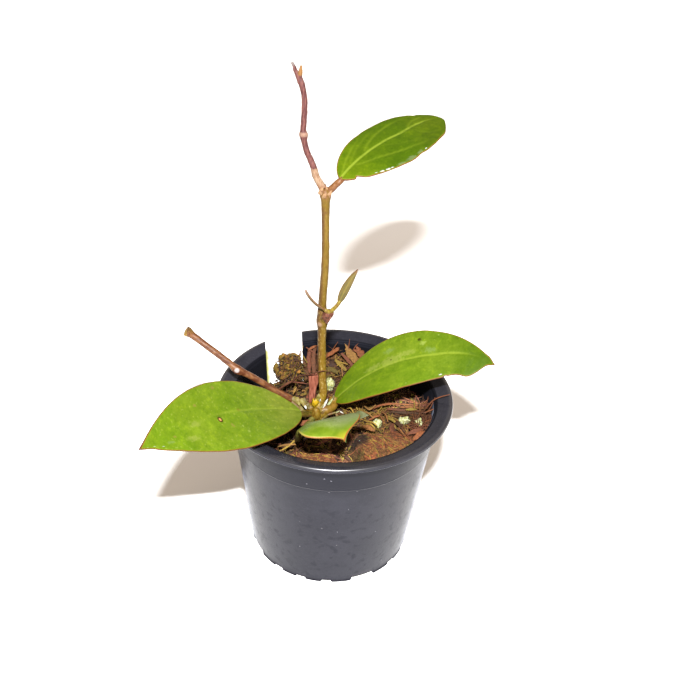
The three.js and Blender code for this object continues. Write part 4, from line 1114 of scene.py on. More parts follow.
# The radii at which its strands start, and its outer lobes: radii, centre
MOSS_SHELL = (5.6, 3.9, 7.4)
MOSS_LOBES = [((2, 1.5, 2.2), (-23.6, 24, 76.6)), ((2.6, 1.4, 1.7), (-19.2, 25, 77)),
              ((1.3, 1.1, 2.3), (-26.6, 22, 72.6)), ((2.4, 1.8, 2.2), (-22.6, 21.4, 73)),
              ((1.6, 1.3, 1.7), (-17.4, 24.6, 75.2)),
              ((1.2, 1, 1.8), (-25.6, 20.6, 71.2)), ((2.2, 1.6, 3.2), (-18.2, 20.8, 67.6))]
PERLITE_GRAINS = [
    (-2.6, 24.4, 2.1, 2.6, 3.2), (18.6, -3.2, 2, 1.9, 2), (29.9, -1.8, 1.5, 1.5, 2.7), (36, -2.2, 3.4, 2.4, 1.6),
    (-31, 3.5, 1.6, 1.4, 1.3), (-24, -8, 1.7, 1.5, 1.4), (9.5, 20, 1.6, 1.8, 1.5)]
# The splinter's two edges, (x, height), from its foot up
BARK_RIGHT = [(0.6, -8), (1.1, 2), (1.6, 9), (2.6, 15.4)]
BARK_LEFT = [(-1, -8), (-1.2, 2), (-1.7, 9), (-2.4, 14.9)]
BARK_ENDS = (-8, 15.2)
BARK_LEAN = 3
BARK_PLACE = (-10.2, 8, 64.2)
LABEL = dict(width=16.2, top=92.5, shoulder=62, point=42, tip=4, thickness=0.8, corner=2.5)
LABEL_PLACE = (-19.9, 28.5, 0)
LABEL_LEAN = -2.6
LABEL_BACK = 1.5


def coir_relief(points):
    """Husk surface: long grooves along the chunk, lumps across it and torn pits."""
    pits = np.clip(rough(points, 2.6, 3, 63) - 0.35, 0, 1)
    return 0.3 * rough(points * [0.2, 1, 1], 1.1, 2, 61) + 0.5 * rough(points, 5, 2, 62) - 1.6 * pits


def moss_relief(points):
    """Curled lobes: the folded peaks of rough noise."""
    return 2.2 * np.abs(rough(points, 3.2, 3, 65)) - 1 + 0.4 * rough(points, 0.9, 2, 66)


def perlite_relief(points):
    """Foamed glass: sharp ridges between shallow hollows."""
    return 0.45 * np.abs(rough(points, 1.5, 3, 71)) - 0.2


def coir_finish(name, turn, colours, olive):
    """Husk whose grain runs at a turn about z in radians: dark, middle and light tones, with olive and dark patches,
    and painted shadow near the right chunk's left end and in the deep gap; olive is (x where it is full, x where it
    is none)."""
    f = Finish(name, Specular_IOR_Level=0.2)
    dark, middle, light = colours
    spin = f.node("VectorRotate", {"Vector": f.spot, "Angle": turn}, rotation_type="Z_AXIS")
    lengthwise = f.node("VectorMath", {0: spin, 1: (0.2, 1, 1)}, operation="MULTIPLY")
    grain = f.noise(2, 5, place=lengthwise, roughness=0.65)
    patch = f.noise(0.2, 3)
    colour = f.ramp(grain, (0.34, dark), (0.46, middle), (0.6, light), (0.74, middle))
    mossy = f.between(f.axis("X") + (patch - 0.5) * 18, olive[1], olive[0])
    mossy = f.math("MAXIMUM", mossy * 0.75, f.between(patch, 0.5, 0.62) * 0.55)
    colour = f.mix(mossy, colour, f.ramp(grain, (0.38, tone(84, 62, 24)), (0.6, tone(156, 126, 60))))
    colour = f.mix(f.between(f.noise(0.55, 4), 0.58, 0.68) * 0.7, colour, dark)
    colour = f.mix(f.between(f.noise(1.9, 2), 0.66, 0.72) * 0.7, colour, tone(232, 178, 124))
    # Painted shadow of the curled leaf on the right chunk's left end
    colour = f.tint(f.near(CHUNK_SHADE, 3.5, 8), colour, 0.4, 0.62, 0.5)
    # Painted shadow: near black in the deep gap by the right chunk
    colour = f.tint(f.near(PAINTED_GAP_SHADOW, 4, 7.5), colour, 0.12, 0.12, 0.12)
    return f.done(colour, 0.78 + grain * 0.15, grain + f.noise(1.1, 4) * 0.5, 0.32)


def moss_finish():
    f = Finish("dark_moss", Specular_IOR_Level=0.2)
    patch = f.noise(0.4, 4)
    fine = f.noise(1.6, 3)
    colour = f.ramp(patch, (0.34, tone(74, 46, 18)), (0.46, tone(156, 106, 38)), (0.54, tone(144, 124, 30)),
                    (0.66, tone(206, 142, 62)))
    colour = f.mix(f.between(fine, 0.58, 0.7) * 0.6, colour, tone(182, 126, 62))
    colour = f.mix(f.between(fine, 0.44, 0.36) * 0.6, colour, tone(34, 24, 14))
    return f.done(colour, 0.75 + patch * 0.2, f.noise(1.4, 4), 0.5)


def perlite_finish():
    f = Finish("perlite", Specular_IOR_Level=0.3)
    pores = f.noise(1.1, 4, roughness=0.7)
    colour = f.blend(pores, 0.42, 0.6, (0.25, 0.255, 0.15, 1), tone(204, 208, 96))
    colour = f.mix(f.between(f.noise(0.9, 3), 0.6, 0.7) * 0.8, colour, tone(140, 124, 62))
    return f.done(colour, 0.8 + pores * 0.1, pores, 0.5)


def bark_finish():
    f = Finish("red_bark", Specular_IOR_Level=0.2)
    grain = f.noise(1.5, 4, place=f.stretched(1, 1, 0.16))
    colour = f.ramp(grain, (0.34, tone(136, 68, 50)), (0.48, tone(200, 112, 84)), (0.64, tone(236, 148, 118)))
    colour = f.mix(f.between(f.axis("Z"), 70, 64) * 0.5, colour, tone(146, 62, 54))
    return f.done(colour, 0.75 + grain * 0.15, grain, 0.4)


def bark_part():
    """The splinter: its outline stretched over a grid of grooves, thin at both faces' edges."""
    rows, sides = 90, 40
    up = np.linspace(*BARK_ENDS, rows)
    east, west = (np.interp(up, *np.transpose(edge)[::-1])[:, None] for edge in (BARK_RIGHT, BARK_LEFT))
    q = np.arange(sides) / sides * TURN
    x = (east + west) / 2 + (east - west) / 2 * np.cos(q)
    up = up[:, None]
    thickness = 0.65 * blunted(np.sin(q), 0.5)
    grooves = 0.22 * ripple(xyz(x, 0, up * 0.08), 0.55, 75)
    torn = 1.1 * ripple(xyz(x, 0, 0), 0.8, 76) * ease((up - 9) / 6)
    skin = xyz(x, -(thickness + grooves * np.sign(thickness)), up + torn)
    return batch(skin @ three_turn((0, BARK_LEAN, 0)).T + BARK_PLACE)


def label_part():
    """The label: a strip whose half-width follows its height, with rounded top corners and thin rounded edges."""
    half, corner, thick = LABEL["width"] / 2, LABEL["corner"], LABEL["thickness"] / 2
    low = np.linspace(LABEL["point"], LABEL["shoulder"], 12)[:-1]
    body = np.linspace(LABEL["shoulder"], LABEL["top"] - corner, 24)[:-1]
    bend = np.linspace(0, np.pi / 2, 12)[:-1]
    up = np.concatenate([low, body, LABEL["top"] - corner + corner * np.sin(bend)])
    wide = np.concatenate([np.interp(low, [LABEL["point"], LABEL["shoulder"]], [LABEL["tip"] / 2, half]),
                           half + 0 * body, half - corner + corner * np.cos(bend)])
    q = (np.arange(40) + 0.5) / 40 * TURN
    up = up[:, None]
    above = up - LABEL["shoulder"]
    y = -thick * blunted(np.sin(q), 0.4) + 0.25 * np.sin(above / 30 * np.pi) * ease(above / 10)
    skin = xyz(wide[:, None] * blunted(np.cos(q), 0.4), y, up)
    spin = three_turn((LABEL_BACK, LABEL_LEAN, 0))
    return batch(skin @ spin.T + LABEL_PLACE)


def label_finish():
    """White plastic, with a thin yellow line along the lower part of its left edge."""
    f = Finish("blank_label", Specular_IOR_Level=0.4)
    grain = f.noise(0.3, 3)
    colour = f.blend(grain, 0.4, 0.7, (0.84, 0.84, 0.83, 1), (0.78, 0.78, 0.77, 1))
    from_edge = f.axis("X") + f.axis("Z") * 0.0454 + LABEL["width"] / 2 - LABEL_PLACE[0]
    yellow_edge = f.between(from_edge + (f.noise(0.4, 2) - 0.5) * 1.6, 2.6, 0.1) * f.between(f.axis("Z"), 80, 78)
    colour = f.mix(yellow_edge, colour, tone(250, 250, 140))
    return f.done(colour, 0.4 + grain * 0.15, grain, 0.05)


# Crown details: papery scales, white strips, a root and bracts at the nodes

# Each flake: base, tip, width, tint; the tints run pinkish, olive, straw, cream, green-white, white
PAPER_TONES = ((0, tone(136, 104, 38)), (0.2, tone(120, 104, 28)), (0.42, tone(144, 126, 36)),
               (0.6, tone(166, 152, 56)), (0.78, tone(206, 214, 150)), (0.9, tone(252, 250, 240)))
PINKISH, DULL_OLIVE, PALE_STRAW, CREAM, GREENISH, WHITE = 0.0, 0.2, 0.42, 0.6, 0.78, 1.0
CROWN_SCALES = [
    ((-16.6, 1.4, 72.4), (-14.8, -0.8, 69.6), 1.9, CREAM), ((-14.7, 1.0, 72.2), (-12.1, -1.4, 68.8), 1.8, CREAM),
    ((-12.8, -0.8, 69.9), (-12.0, -1.8, 68.7), 0.9, WHITE), ((-18.4, -0.2, 71.4), (-14.4, -2.6, 68.6), 1.7, PINKISH),
    ((-18.2, 2.2, 71.8), (-15.4, 0.2, 69.8), 2, PALE_STRAW),
    ((-13.4, 1.6, 72.2), (-11.6, 0.4, 68.8), 1.2, DULL_OLIVE),
    ((-15.6, -0.8, 69.4), (-12.8, -2.6, 67.6), 1.6, PALE_STRAW),
    ((-12.2, 1.2, 70.2), (-10.8, -0.8, 67.8), 1.6, DULL_OLIVE),
    ((-13.6, -2.4, 67.2), (-12.0, -3.4, 65.0), 1.8, DULL_OLIVE), ((-7.6, 0.2, 71.8), (-6.9, 1, 75.2), 1.7, CREAM),
    ((-6.4, 0.2, 71.4), (-6.2, 0.6, 72.8), 0.7, WHITE), ((-5.4, 0.2, 67.8), (-3.0, 2.3, 71.8), 1.1, WHITE),
    ((-6.0, -0.4, 68.4), (-4.4, 0.8, 70.4), 0.7, CREAM), ((-3.3, 2.2, 67.8), (-0.9, 3.4, 71.2), 1.1, GREENISH),
    ((-1.2, 3.4, 68.4), (-0.6, 4.6, 72.2), 1.3, DULL_OLIVE), ((-5.4, -1.4, 66.4), (-4.2, -1.2, 68.2), 1.2, PINKISH),
    ((0.6, -0.4, 66.4), (2.4, -0.2, 67.6), 0.5, GREENISH), ((2.4, -0.3, 67.2), (3.9, -0.5, 66.2), 0.5, WHITE),
    ((0.6, -0.6, 66.2), (1.8, -0.8, 63.8), 1.0, PINKISH), ((1.6, -0.8, 64.0), (4.4, -0.6, 65.6), 1.1, PINKISH),
    ((-2.8, -2.0, 63.2), (0.9, -1.7, 64.8), 1.3, PALE_STRAW),
    ((-13.4, 0.6, 66.2), (-11.2, -2.6, 65.6), 1.4, PALE_STRAW)]
NODE_BRACTS = [((-5.6, 5.4, 108.6), (-3, 4, 112.2), 2.4), ((-6.4, 5.6, 109.4), (-4.8, 4.2, 113), 2.0),
               ((-4.4, 5.6, 110), (-2, 5.4, 113.6), 1.8), ((-5.8, 6.2, 110.8), (-5, 5.2, 114), 1.6)]
TOP_BRACTS = [((-9.6, 14.6, 161.4), (-8.4, 14.2, 165.2), 1.8), ((-6.2, 14.2, 160.6), (-5, 14.2, 163.8), 1.6),
              ((-8, 14, 160), (-7.2, 13.8, 163.2), 1.6), ((-6.8, 15.4, 162), (-7.6, 15, 165.6), 1.3)]
CROWN_ROOT = [[-6.2, -2.4, 62.6, 0.8], [-5.2, -1.4, 63.2, 0.7], [-2.9, -0.7, 65.1, 0.55], [-0.6, -0.3, 66, 0.5],
              [1.4, -0.1, 66.6, 0.35]]


def paper_finish(name, light, dark):
    f = Finish(name, Specular_IOR_Level=0.3)
    grain = f.noise(0.9, 3)
    colour = f.blend(grain, 0.4, 0.65, light, dark)
    return f.done(colour, 0.55 + grain * 0.15, grain, 0.12)


def crown_finish():
    """Papery scales in each one's tint, streaked with olive and brown."""
    f = Finish("papery_scale", Specular_IOR_Level=0.3)
    grain = f.noise(1.2, 4, roughness=0.6)
    colour = f.ramp(f.read("tint"), *PAPER_TONES)
    colour = f.mix(f.between(grain, 0.52, 0.64) * 0.55, colour, tone(120, 98, 40))
    colour = f.mix(f.between(f.noise(0.8, 2), 0.56, 0.66) * 0.4, colour, tone(150, 96, 66))
    return f.done(colour, 0.55 + grain * 0.15, grain, 0.15)


def flakes(name, items, material, slot, seed, **shape):
    """Flakes (base, tip, width, tint) as one piece."""
    sheets = np.stack([flake(base, tip, width, seed=seed + 3 * n, **shape)
                       for n, (base, tip, width, _) in enumerate(items)])
    tints = piece_tint([tint for *_, tint in items], sheets)
    make_piece(name, batch(sheets), material, slot, tint=tints)


# Torn strips seen one by one: knots [x, y, z, share of the width], width, thickness, tint
STRIPS = [
    ([[-12.4, 36.2, 73.6, 0.8], [-12.6, 33, 70.8, 1], [-12.2, 28.4, 66.8, 0.9]], 2, 1.2, RED),
    ([[-10.2, 36.8, 74.4, 0.7], [-10.6, 33, 71, 1], [-10, 28.4, 66.4, 0.8]], 2.2, 1.2, 0.42),
    ([[-8.8, 36.4, 72.2, 0.6], [-8.4, 33, 70, 1], [-8.9, 29.4, 66.8, 0.8]], 1.6, 1, BROWN),
    ([[-15.6, 30.4, 71.4, 0.7], [-14, 26.4, 69, 1], [-13.2, 22.6, 66.8, 0.8]], 3.2, 1.2, BROWN),
    ([[-13.3, 34.5, 74, 0.7], [-11.3, 35.3, 75.2, 1], [-9.1, 35.9, 76.3, 0.6]], 1.2, 0.8, ORANGE),
    ([[-13.9, 35.2, 75.2, 0.5], [-11.5, 34.8, 73.6, 1], [-9.3, 34.4, 72, 0.6]], 1.0, 0.7, RED),
    ([[-5.6, 36, 69.6, 0.8], [-2.4, 36.6, 72, 1], [0.6, 36.9, 74.4, 0.8]], 2, 1.2, ORANGE),
    ([[3.6, 36.6, 75.4, 0.5], [6, 36.2, 72.4, 1], [9.4, 35, 68.2, 0.9]], 3.6, 1, TAN),
    ([[2.4, 34.4, 73, 0.6], [5, 33.6, 70.6, 1], [7.4, 32.6, 67.6, 0.8]], 1.8, 0.8, RED),
    ([[8.6, 38.2, 73.6, 0.7], [10.8, 37.8, 71.4, 1], [13, 37.2, 69, 0.8]], 3.4, 1, 0.57),
    ([[-0.6, 33.4, 70.2, 0.7], [1.6, 31.6, 69.4, 1], [4, 29.6, 67.6, 0.7]], 2.2, 1, 0.94),
    ([[-5, 30.6, 66.4, 0.8], [-2.4, 30.2, 67.4, 1], [0.4, 29.4, 66.6, 0.8]], 2.4, 1, OLIVE),
    ([[15.8, 7.4, 62.8, 0.8], [19, 6.3, 66, 1], [24, 6, 67.6, 1], [30, 6.1, 67.5, 0.9], [36, 6.8, 66.8, 0.6]],
     0.9, 0.6, ORANGE),
    ([[22.6, 5.2, 65.6, 0.7], [28.3, 3.8, 66.2, 1], [33.4, 3.3, 66.6, 1], [40, 1.6, 66.8, 0.7]], 1.3, 0.8, RED),
    ([[24.6, 3.6, 65, 0.7], [29.3, 2.8, 65.6, 1], [36, 2.2, 66, 0.7]], 1.1, 0.8, 0.26),
    ([[30.4, 1.9, 67.8, 0.5], [33, 2, 68.2, 1], [35.6, 2.3, 68, 0.4]], 1.3, 0.6, STRAW),
    ([[28, 4.9, 66.8, 0.6], [33, 4.6, 67.4, 1], [38.4, 3.8, 67.6, 0.6]], 1.2, 0.8, ORANGE),
    ([[14.6, -1.6, 63.8, 0.7], [17, -1.2, 65.4, 1], [19.6, -0.4, 66, 0.8]], 1, 0.6, ORANGE),
    ([[12.6, -6.2, 64, 0.7], [14.8, -7.8, 65, 1], [16.8, -9.2, 64.8, 0.7]], 2.4, 0.8, 0.7),
    ([[33.8, -15.2, 65.2, 0.7], [35.8, -13.8, 67, 1], [37.8, -12.2, 67.2, 0.6]], 2.8, 0.9, ORANGE),
    ([[31.6, -12.6, 66.6, 0.6], [34.2, -12.4, 67.6, 1], [36.8, -11, 67.8, 0.6]], 2.4, 0.9, RED),
    ([[26.2, -3.6, 65, 0.7], [27.4, -6, 66, 1], [28, -8.4, 66.4, 0.7]], 1.5, 0.8, 0.24),
    ([[22.4, 0.2, 64, 0.7], [24.6, -2, 65.4, 1], [26, -3.6, 65.2, 0.7]], 1.3, 0.7, 0.94),
    ([[-22.8, -20.2, 62.6, 0.6], [-19, -21.4, 64.8, 1], [-15.4, -21.4, 65.2, 0.8]], 0.9, 0.7, TAN),
    ([[-22.2, -22.2, 61.6, 0.6], [-18.8, -21.8, 64, 1], [-15.6, -20.6, 66.8, 0.8]], 0.9, 0.7, STRAW),
    ([[-14.4, -5.8, 62.8, 0.6], [-12.6, -5, 64, 1], [-10.8, -4.2, 64.2, 0.6]], 1.9, 0.8, 0.6),
    ([[-26, 10.4, 64.2, 0.7], [-23, 9, 65.4, 1], [-19.4, 8.4, 65.2, 0.6]], 2.2, 0.9, BROWN),
    ([[-17.2, 13.2, 68.8, 0.6], [-17.8, 12.6, 67.6, 1], [-18.4, 12, 66.2, 0.5]], 0.9, 0.5, 0.8)]

# Straws and fibres seen one by one: knots [x, y, z, radius], tint
STRAWS = [
    ([[-15.5, 27, 83.4, 0.26], [-16.3, 26.5, 78.7, 0.34], [-17, 26, 74.7, 0.34], [-17.6, 25.4, 72.4, 0.3]], 0.57),
    ([[-15.1, 27.2, 81.6, 0.12], [-15.7, 26.4, 78.4, 0.18], [-16.6, 25.8, 75.2, 0.12]], STRAW),
    ([[-17, 25.2, 75.4, 0.2], [-19.8, 24.7, 71.5, 0.36], [-21.5, 24.2, 68.8, 0.34], [-23, 23.4, 65.4, 0.26]], STRAW),
    ([[-17.6, 24.4, 74, 0.2], [-19.3, 23.6, 71.2, 0.34], [-21.4, 22.8, 68.2, 0.3]], STRAW),
    ([[-16.8, 23.8, 73.4, 0.16], [-18.7, 22.9, 70.2, 0.26], [-22.2, 21.4, 66, 0.2]], TAN),
    ([[-15.8, 30, 75.2, 0.28], [-14.6, 29, 73.8, 0.4], [-13.1, 27.8, 72, 0.3]], 0.96),
    ([[-16.6, 29, 76.6, 0.2], [-16, 27.6, 73.6, 0.3], [-15, 26.4, 71.6, 0.2]], 0.97),
    ([[-24.8, 14.9, 66.2, 0.5], [-21.7, 13.6, 70, 0.6], [-19.1, 13.4, 71.9, 0.5], [-16.5, 11, 76.2, 0.34],
      [-11.2, 5.5, 81.8, 0.26], [-6.1, 2.4, 85.9, 0.22], [-3.7, 2.6, 86.2, 0.1]], 0.44),
    ([[-24.2, 15.8, 65.6, 0.4], [-20.2, 14.6, 70.4, 0.44], [-15.6, 12.2, 72.2, 0.3], [-11.8, 11, 72.6, 0.15]], RED),
    ([[-2.9, 38.4, 71, 0.2], [-1.2, 38.2, 74.4, 0.24], [0.2, 37.9, 77.4, 0.12]], 0.57),
    ([[4.9, 36.6, 74, 0.34], [5.2, 37.4, 76.4, 0.26], [5.4, 38.3, 79, 0.1]], RED),
    ([[6.8, 36.6, 73, 0.2], [8, 37.2, 75.4, 0.2], [9.4, 38, 77, 0.1]], RED),
    ([[1.7, 31.8, 69.4, 0.26], [2.4, 29.4, 68.4, 0.3], [2.9, 26.7, 66, 0.24]], TAN),
    ([[0.2, 31.4, 68.6, 0.2], [2.4, 31, 70.6, 0.24], [5, 30.4, 70.4, 0.2]], STRAW),
    ([[38.2, 1.2, 68, 0.24], [41.6, 0.6, 74.4, 0.3], [44.4, -0.4, 77.2, 0.26], [48.4, -1.4, 79.6, 0.14]], 0.57),
    ([[38.4, 0.8, 68.4, 0.24], [39, 0.6, 72.4, 0.26], [39.4, 0.4, 76.6, 0.12]], RED),
    ([[40, 1, 68, 0.24], [41.4, 1.4, 71.4, 0.26], [42.6, 2.4, 75, 0.12]], RED),
    ([[39, -1.2, 69.4, 0.26], [42.2, -1.6, 71.6, 0.26], [44, -2.2, 72.6, 0.14]], ORANGE),
    ([[36.8, 2.2, 67, 0.3], [36.2, 2.8, 70.2, 0.3], [35.8, 3.4, 72.6, 0.14]], 0.7),
    ([[34.4, 3.6, 67, 0.26], [34.2, 4, 69.6, 0.26], [33.6, 4.4, 71.6, 0.14]], STRAW),
    ([[7.2, 9.2, 63.6, 0.3], [8.8, 7.4, 65.2, 0.36], [10, 5.4, 64, 0.3]], STRAW),
    ([[11.6, 9.8, 64.4, 0.3], [15.2, 4, 65.6, 0.36], [17.8, 6.4, 66.4, 0.28]], TAN),
    ([[5.4, 6.4, 63.8, 0.3], [7, 4.4, 65.4, 0.34], [8.6, 2.2, 64, 0.3]], STRAW),
    ([[10.6, 7.8, 65.8, 0.26], [13.4, 6.6, 66.6, 0.3], [15, 8.2, 66, 0.24]], TAN),
    ([[12, 11.4, 66, 0.3], [13.6, 9, 66.8, 0.34], [16.4, 8.4, 65.8, 0.26]], 0.92),
    ([[13.6, -5.8, 65.4, 0.3], [15.8, -7.8, 66.6, 0.36], [17.4, -9.6, 66, 0.26]], STRAW),
    ([[14.4, -4.4, 65.4, 0.26], [16.4, -6, 66.4, 0.32], [18.4, -7.4, 65.6, 0.24]], STRAW),
    ([[10.4, 2.4, 65, 0.3], [14, 0.6, 66.4, 0.34], [17, -2, 65.4, 0.26]], TAN),
    ([[20.2, 3, 65.4, 0.3], [22, -0.6, 66.6, 0.34], [23, -4, 65.4, 0.24]], 0.7),
    ([[26.4, -10.4, 67.6, 0.24], [27.4, -13.4, 69.4, 0.3], [29.4, -16.4, 68.8, 0.2]], 0.7),
    ([[-31, -15.4, 62, 0.3], [-26.4, -19.4, 63.4, 0.36], [-21.4, -21.2, 64.8, 0.3]], 0.5)]

# Drops and crumbs on the pot's wall: angle from the front, height, size
POT_SPECKS = [(-3.6, 66.9, 0.36), (0, 65.9, 0.4), (-0.9, 58.9, 0.34), (14.1, 59, 0.4),
              (10.5, 48.1, 0.34), (-4.3, 36.1, 0.34), (5, 34.1, 0.3), (-18.6, 21.6, 0.3),
              (5.2, 25.4, 0.34), (41, 6.6, 0.4), (-12.9, 62.6, 0.34), (30, 30, 0.3),
              (-18, 38, 0.24), (22, 56, 0.3)]


def speck_part():
    """Flat domes on the wall, each a little longer than high."""
    parts = []
    for n, (angle, height, size) in enumerate(POT_SPECKS):
        reach = outer_radius(height)
        centre = (reach * np.sin(np.radians(angle)), -reach * np.cos(np.radians(angle)), height)
        spin = turned(np.array([np.radians(angle)]), np.array([0.3 * n]), np.array([0.0]))[0]
        parts.append(ball((size * 0.95, 0.08, size * 0.4), centre, 8, 12, spin,
                          lambda way: 0.2 * rough(way * 2, 1, 2, 80 + n)))
    return joined(*parts)


# Build

make_piece("pot_shell", pot_skin(), pot_finish(), "pot_plastic", ["pot"], sharp=35)
specks = paper_finish("dry_specks", tone(176, 176, 190), tone(134, 130, 134))
make_piece("pot_specks", speck_part(), specks, "pot_plastic")

make_piece("stem_skin", stem_parts(), stem_finish(), "stem", ["main_stem"])
make_piece("dry_skin", dry_parts(), dry_finish(), "dry_stem", ["dry_tip"])
vine = limb(CUT_VINE, 360, 26, vine_relief, blunt=0.12)
make_piece("vine_skin", batch(vine), vine_finish(), "vine", ["cut_vine"])

# Each leaf's look: runs of marks (kind, (s, v, radius) of each), colours at base, middle and tip, how clear its rib
# is and to which s; glint runs are painted highlights and greyish sheen runs painted sheen
LEAF_LOOKS = {
    "leaf_right": dict(
        marks=[("faded", (0.29, 0.15, 2), (0.4, 0.12, 3), (0.49, 0.22, 2)),
               ("dark", (0.561, 0.64, 1.1), (0.399, 0.14, 0.45)), ("pale", (0.583, 0.49, 1.5)),
               ("mist", (0.623, 0.21, 2.2), (0.394, 0.5, 2)),
               ("pale", (0.663, 0.84, 0.5), (0.183, 0.73, 0.5), (0.486, -0.88, 0.5)),
               # Painted highlight
               ("glint", (0.703, -0.86, 0.4))],
        base=tone(132, 163, 20), middle=tone(134, 165, 38), tip=tone(100, 132, 4),
        flecked=0.74, veined=0.35, rib_strength=0.75, rib_reach=0.7),
    "leaf_left": dict(
        marks=[("sore", (0.499, 0.15, 0.95)), ("pale", (0.402, 0.43, 0.8), (0.392, 0.59, 1)),
               ("pink", (0.787, 0.3, 1.1), (0.449, -0.81, 1.3), (0.591, -0.46, 1.1), (0.452, 0.35, 1)),
               ("pale", (0.284, -0.03, 0.5)), ("dark", (0.29, -0.08, 0.3)), ("brown", (0.366, -0.02, 0.9)),
               # Painted highlights near the tip
               ("glint", (0.956, 0.6, 0.3), (0.92, 0.64, 0.35), (0.877, 0.68, 0.35)), ("mist", (0.826, 0.5, 1.6)),
               ("pale", (0.818, 0.81, 0.8), (0.756, 0.89, 0.7), (0.873, 0.83, 0.7)),
               ("faded", (0.7, 0.5, 2), (0.64, 0.1, 1.6))],
        base=tone(150, 169, 62), middle=tone(140, 172, 40), tip=tone(146, 180, 40),
        flecked=0.64, veined=0.4, rib_strength=0.5, rib_reach=0.38),
    "leaf_top": dict(
        # Painted sheen along the lower margin, then painted highlights
        marks=[("grey", (0.41, -0.95, 1), (0.52, -0.93, 1.3), (0.62, -0.94, 1)),
               ("glint", (0.19, -0.9, 0.3), (0.235, -0.93, 0.5), (0.28, -0.94, 0.6), (0.32, -0.94, 0.35),
                (0.688, -0.93, 0.3))],
        base=tone(118, 147, 12), middle=tone(94, 126, 8), tip=tone(103, 126, 14),
        flecked=0.8, veined=0.45, rib_strength=0.85, rib_reach=0.8),
}
stalks = {
    "leaf_right": stalk_finish("golden_stalk", tone(150, 120, 26), tone(172, 128, 44), 0.4),
    "leaf_left": stalk_finish("olive_stalk", tone(96, 84, 20), tone(144, 120, 40), 0.5),
    "leaf_top": stalk_finish("russet_stalk", tone(146, 92, 50), tone(172, 118, 70), 0.6),
    "leaf_front": stalk_finish("green_stalk", tone(96, 100, 34), tone(150, 140, 66), 0.6),
    "shoot_leaf_right": stalk_finish("yellow_stalk", tone(196, 172, 66), tone(164, 136, 56), 0.5)}
stalks["shoot_leaf_left"] = stalks["shoot_leaf_right"]
young = young_finish()
for number, (node, own) in enumerate(LEAVES.items()):
    leaf = LEAF_COMMON | own
    small = node.startswith("shoot")
    part, values = blade(leaf, 60 if small else 190, 40 if small else 110, 100 + 10 * number)
    if small:
        finish = young
    elif node == "leaf_front":
        finish = front_finish(leaf)
    else:
        finish = leaf_finish(node + "_green", leaf, **LEAF_LOOKS[node])
    slot = "young_leaf" if small else "leaf"
    make_piece(node + "_blade", part, finish, slot, [node], **values)
    make_piece(node + "_stalk", batch(limb(leaf["stalk"], 70, 20, stem_relief)), stalks[node], slot)

corner = flake((8.4, -28.6, 87.2), (13.8, -30, 88.6), 3.4, (0, -0.6, 0.8), cup=0.2, blunt=1.1, thick=0.6)
turned_corner = paper_finish("turned_corner", tone(112, 118, 62), tone(92, 98, 44))
make_piece("leaf_front_turn", batch(corner), turned_corner, "leaf")

russet_paper = paper_finish("russet_bract", tone(168, 104, 78), tone(96, 54, 38))
tan_paper = paper_finish("tan_bract", tone(214, 168, 120), tone(150, 96, 60))
flakes("crown_scales", CROWN_SCALES, crown_finish(), "stem", 200, cup=0.45, ragged=0.2)
flakes("shoot_bracts", [(*item, 0.0) for item in NODE_BRACTS], russet_paper, "stem", 240)
flakes("top_bracts", [(*item, 0.0) for item in TOP_BRACTS], tan_paper, "stem", 260)
make_piece("crown_root", batch(limb(CROWN_ROOT, 70, 16, stem_relief)), stalks["leaf_left"], "stem")

husk = husk_finish("bark_shreds")
fibre = husk_finish("coir_fibre", 0.1)
right_chunk = within_wall(lump(**CHUNK_RIGHT, rows=130, columns=220, relief=coir_relief))
left_chunk = within_wall(lump(**CHUNK_LEFT, rows=100, columns=160, relief=coir_relief))
make_piece("medium_bed", batch(medium_skin()), medium_finish(), "medium", ["growing_medium"])
right_husk = coir_finish("husk_right", 0.8, (tone(78, 42, 20), tone(156, 82, 46), tone(202, 122, 66)), (34, 28))
left_husk = coir_finish("husk_left", -0.5, (tone(70, 38, 22), tone(146, 84, 56), tone(188, 122, 78)), (16, 8))
make_piece("husk_chunk_right", batch(right_chunk), right_husk, "coir", ["coir_chunk_right"])
make_piece("husk_chunk_left", batch(left_chunk), left_husk, "coir", ["coir_chunk_left"])
moss = moss_finish()
lobes = [ball(radii, centre, 28, 36, relief=lambda way, n=n: 0.22 * rough(way * 2, 1, 3, 300 + n))
         for n, (radii, centre) in enumerate(MOSS_LOBES)]
make_piece("moss_body", joined(batch(lump(**MOSS_CLUMP, rows=110, columns=140, relief=moss_relief)), *lobes), moss,
           "moss", ["moss_clump"])
perlite = perlite_finish()
for index, (x, y, *radii) in enumerate(PERLITE_GRAINS):
    centre = (x, y, float(medium_height(x, y)) + 0.35 * min(radii) + 1.4)
    grain = lump(np.array(radii), centre, (20 * index, 35 * index, 50 * index), 1, 0.1, 1.4, index, 40, 56,
                 perlite_relief)
    make_piece(f"perlite_grain_{index + 1}", batch(grain), perlite, "perlite", [f"perlite_{index + 1}"])
make_piece("bark_strip", bark_part(), bark_finish(), "bark", ["bark_splinter"])
make_piece("label_strip", label_part(), label_finish(), "label_plastic", ["plant_label"], sharp=50)


def add_shreds(name, count, seed, places, low, high, tints, tilt=0.45, sink=0.0, **shape):
    """Shreds whose length, width and thickness are drawn between low and high."""
    sizes = np.exp(np.random.default_rng(seed + 500).uniform(np.log(low), np.log(high), (count, 3)))
    places = places + [0, 0, 1] * (0.3 * sizes[:, 2:3] - sink)
    made = within_wall(shreds(count, seed, places, sizes, tilt, **shape))
    make_piece(name, batch(made), husk, "medium", tint=piece_tint(tints, made))


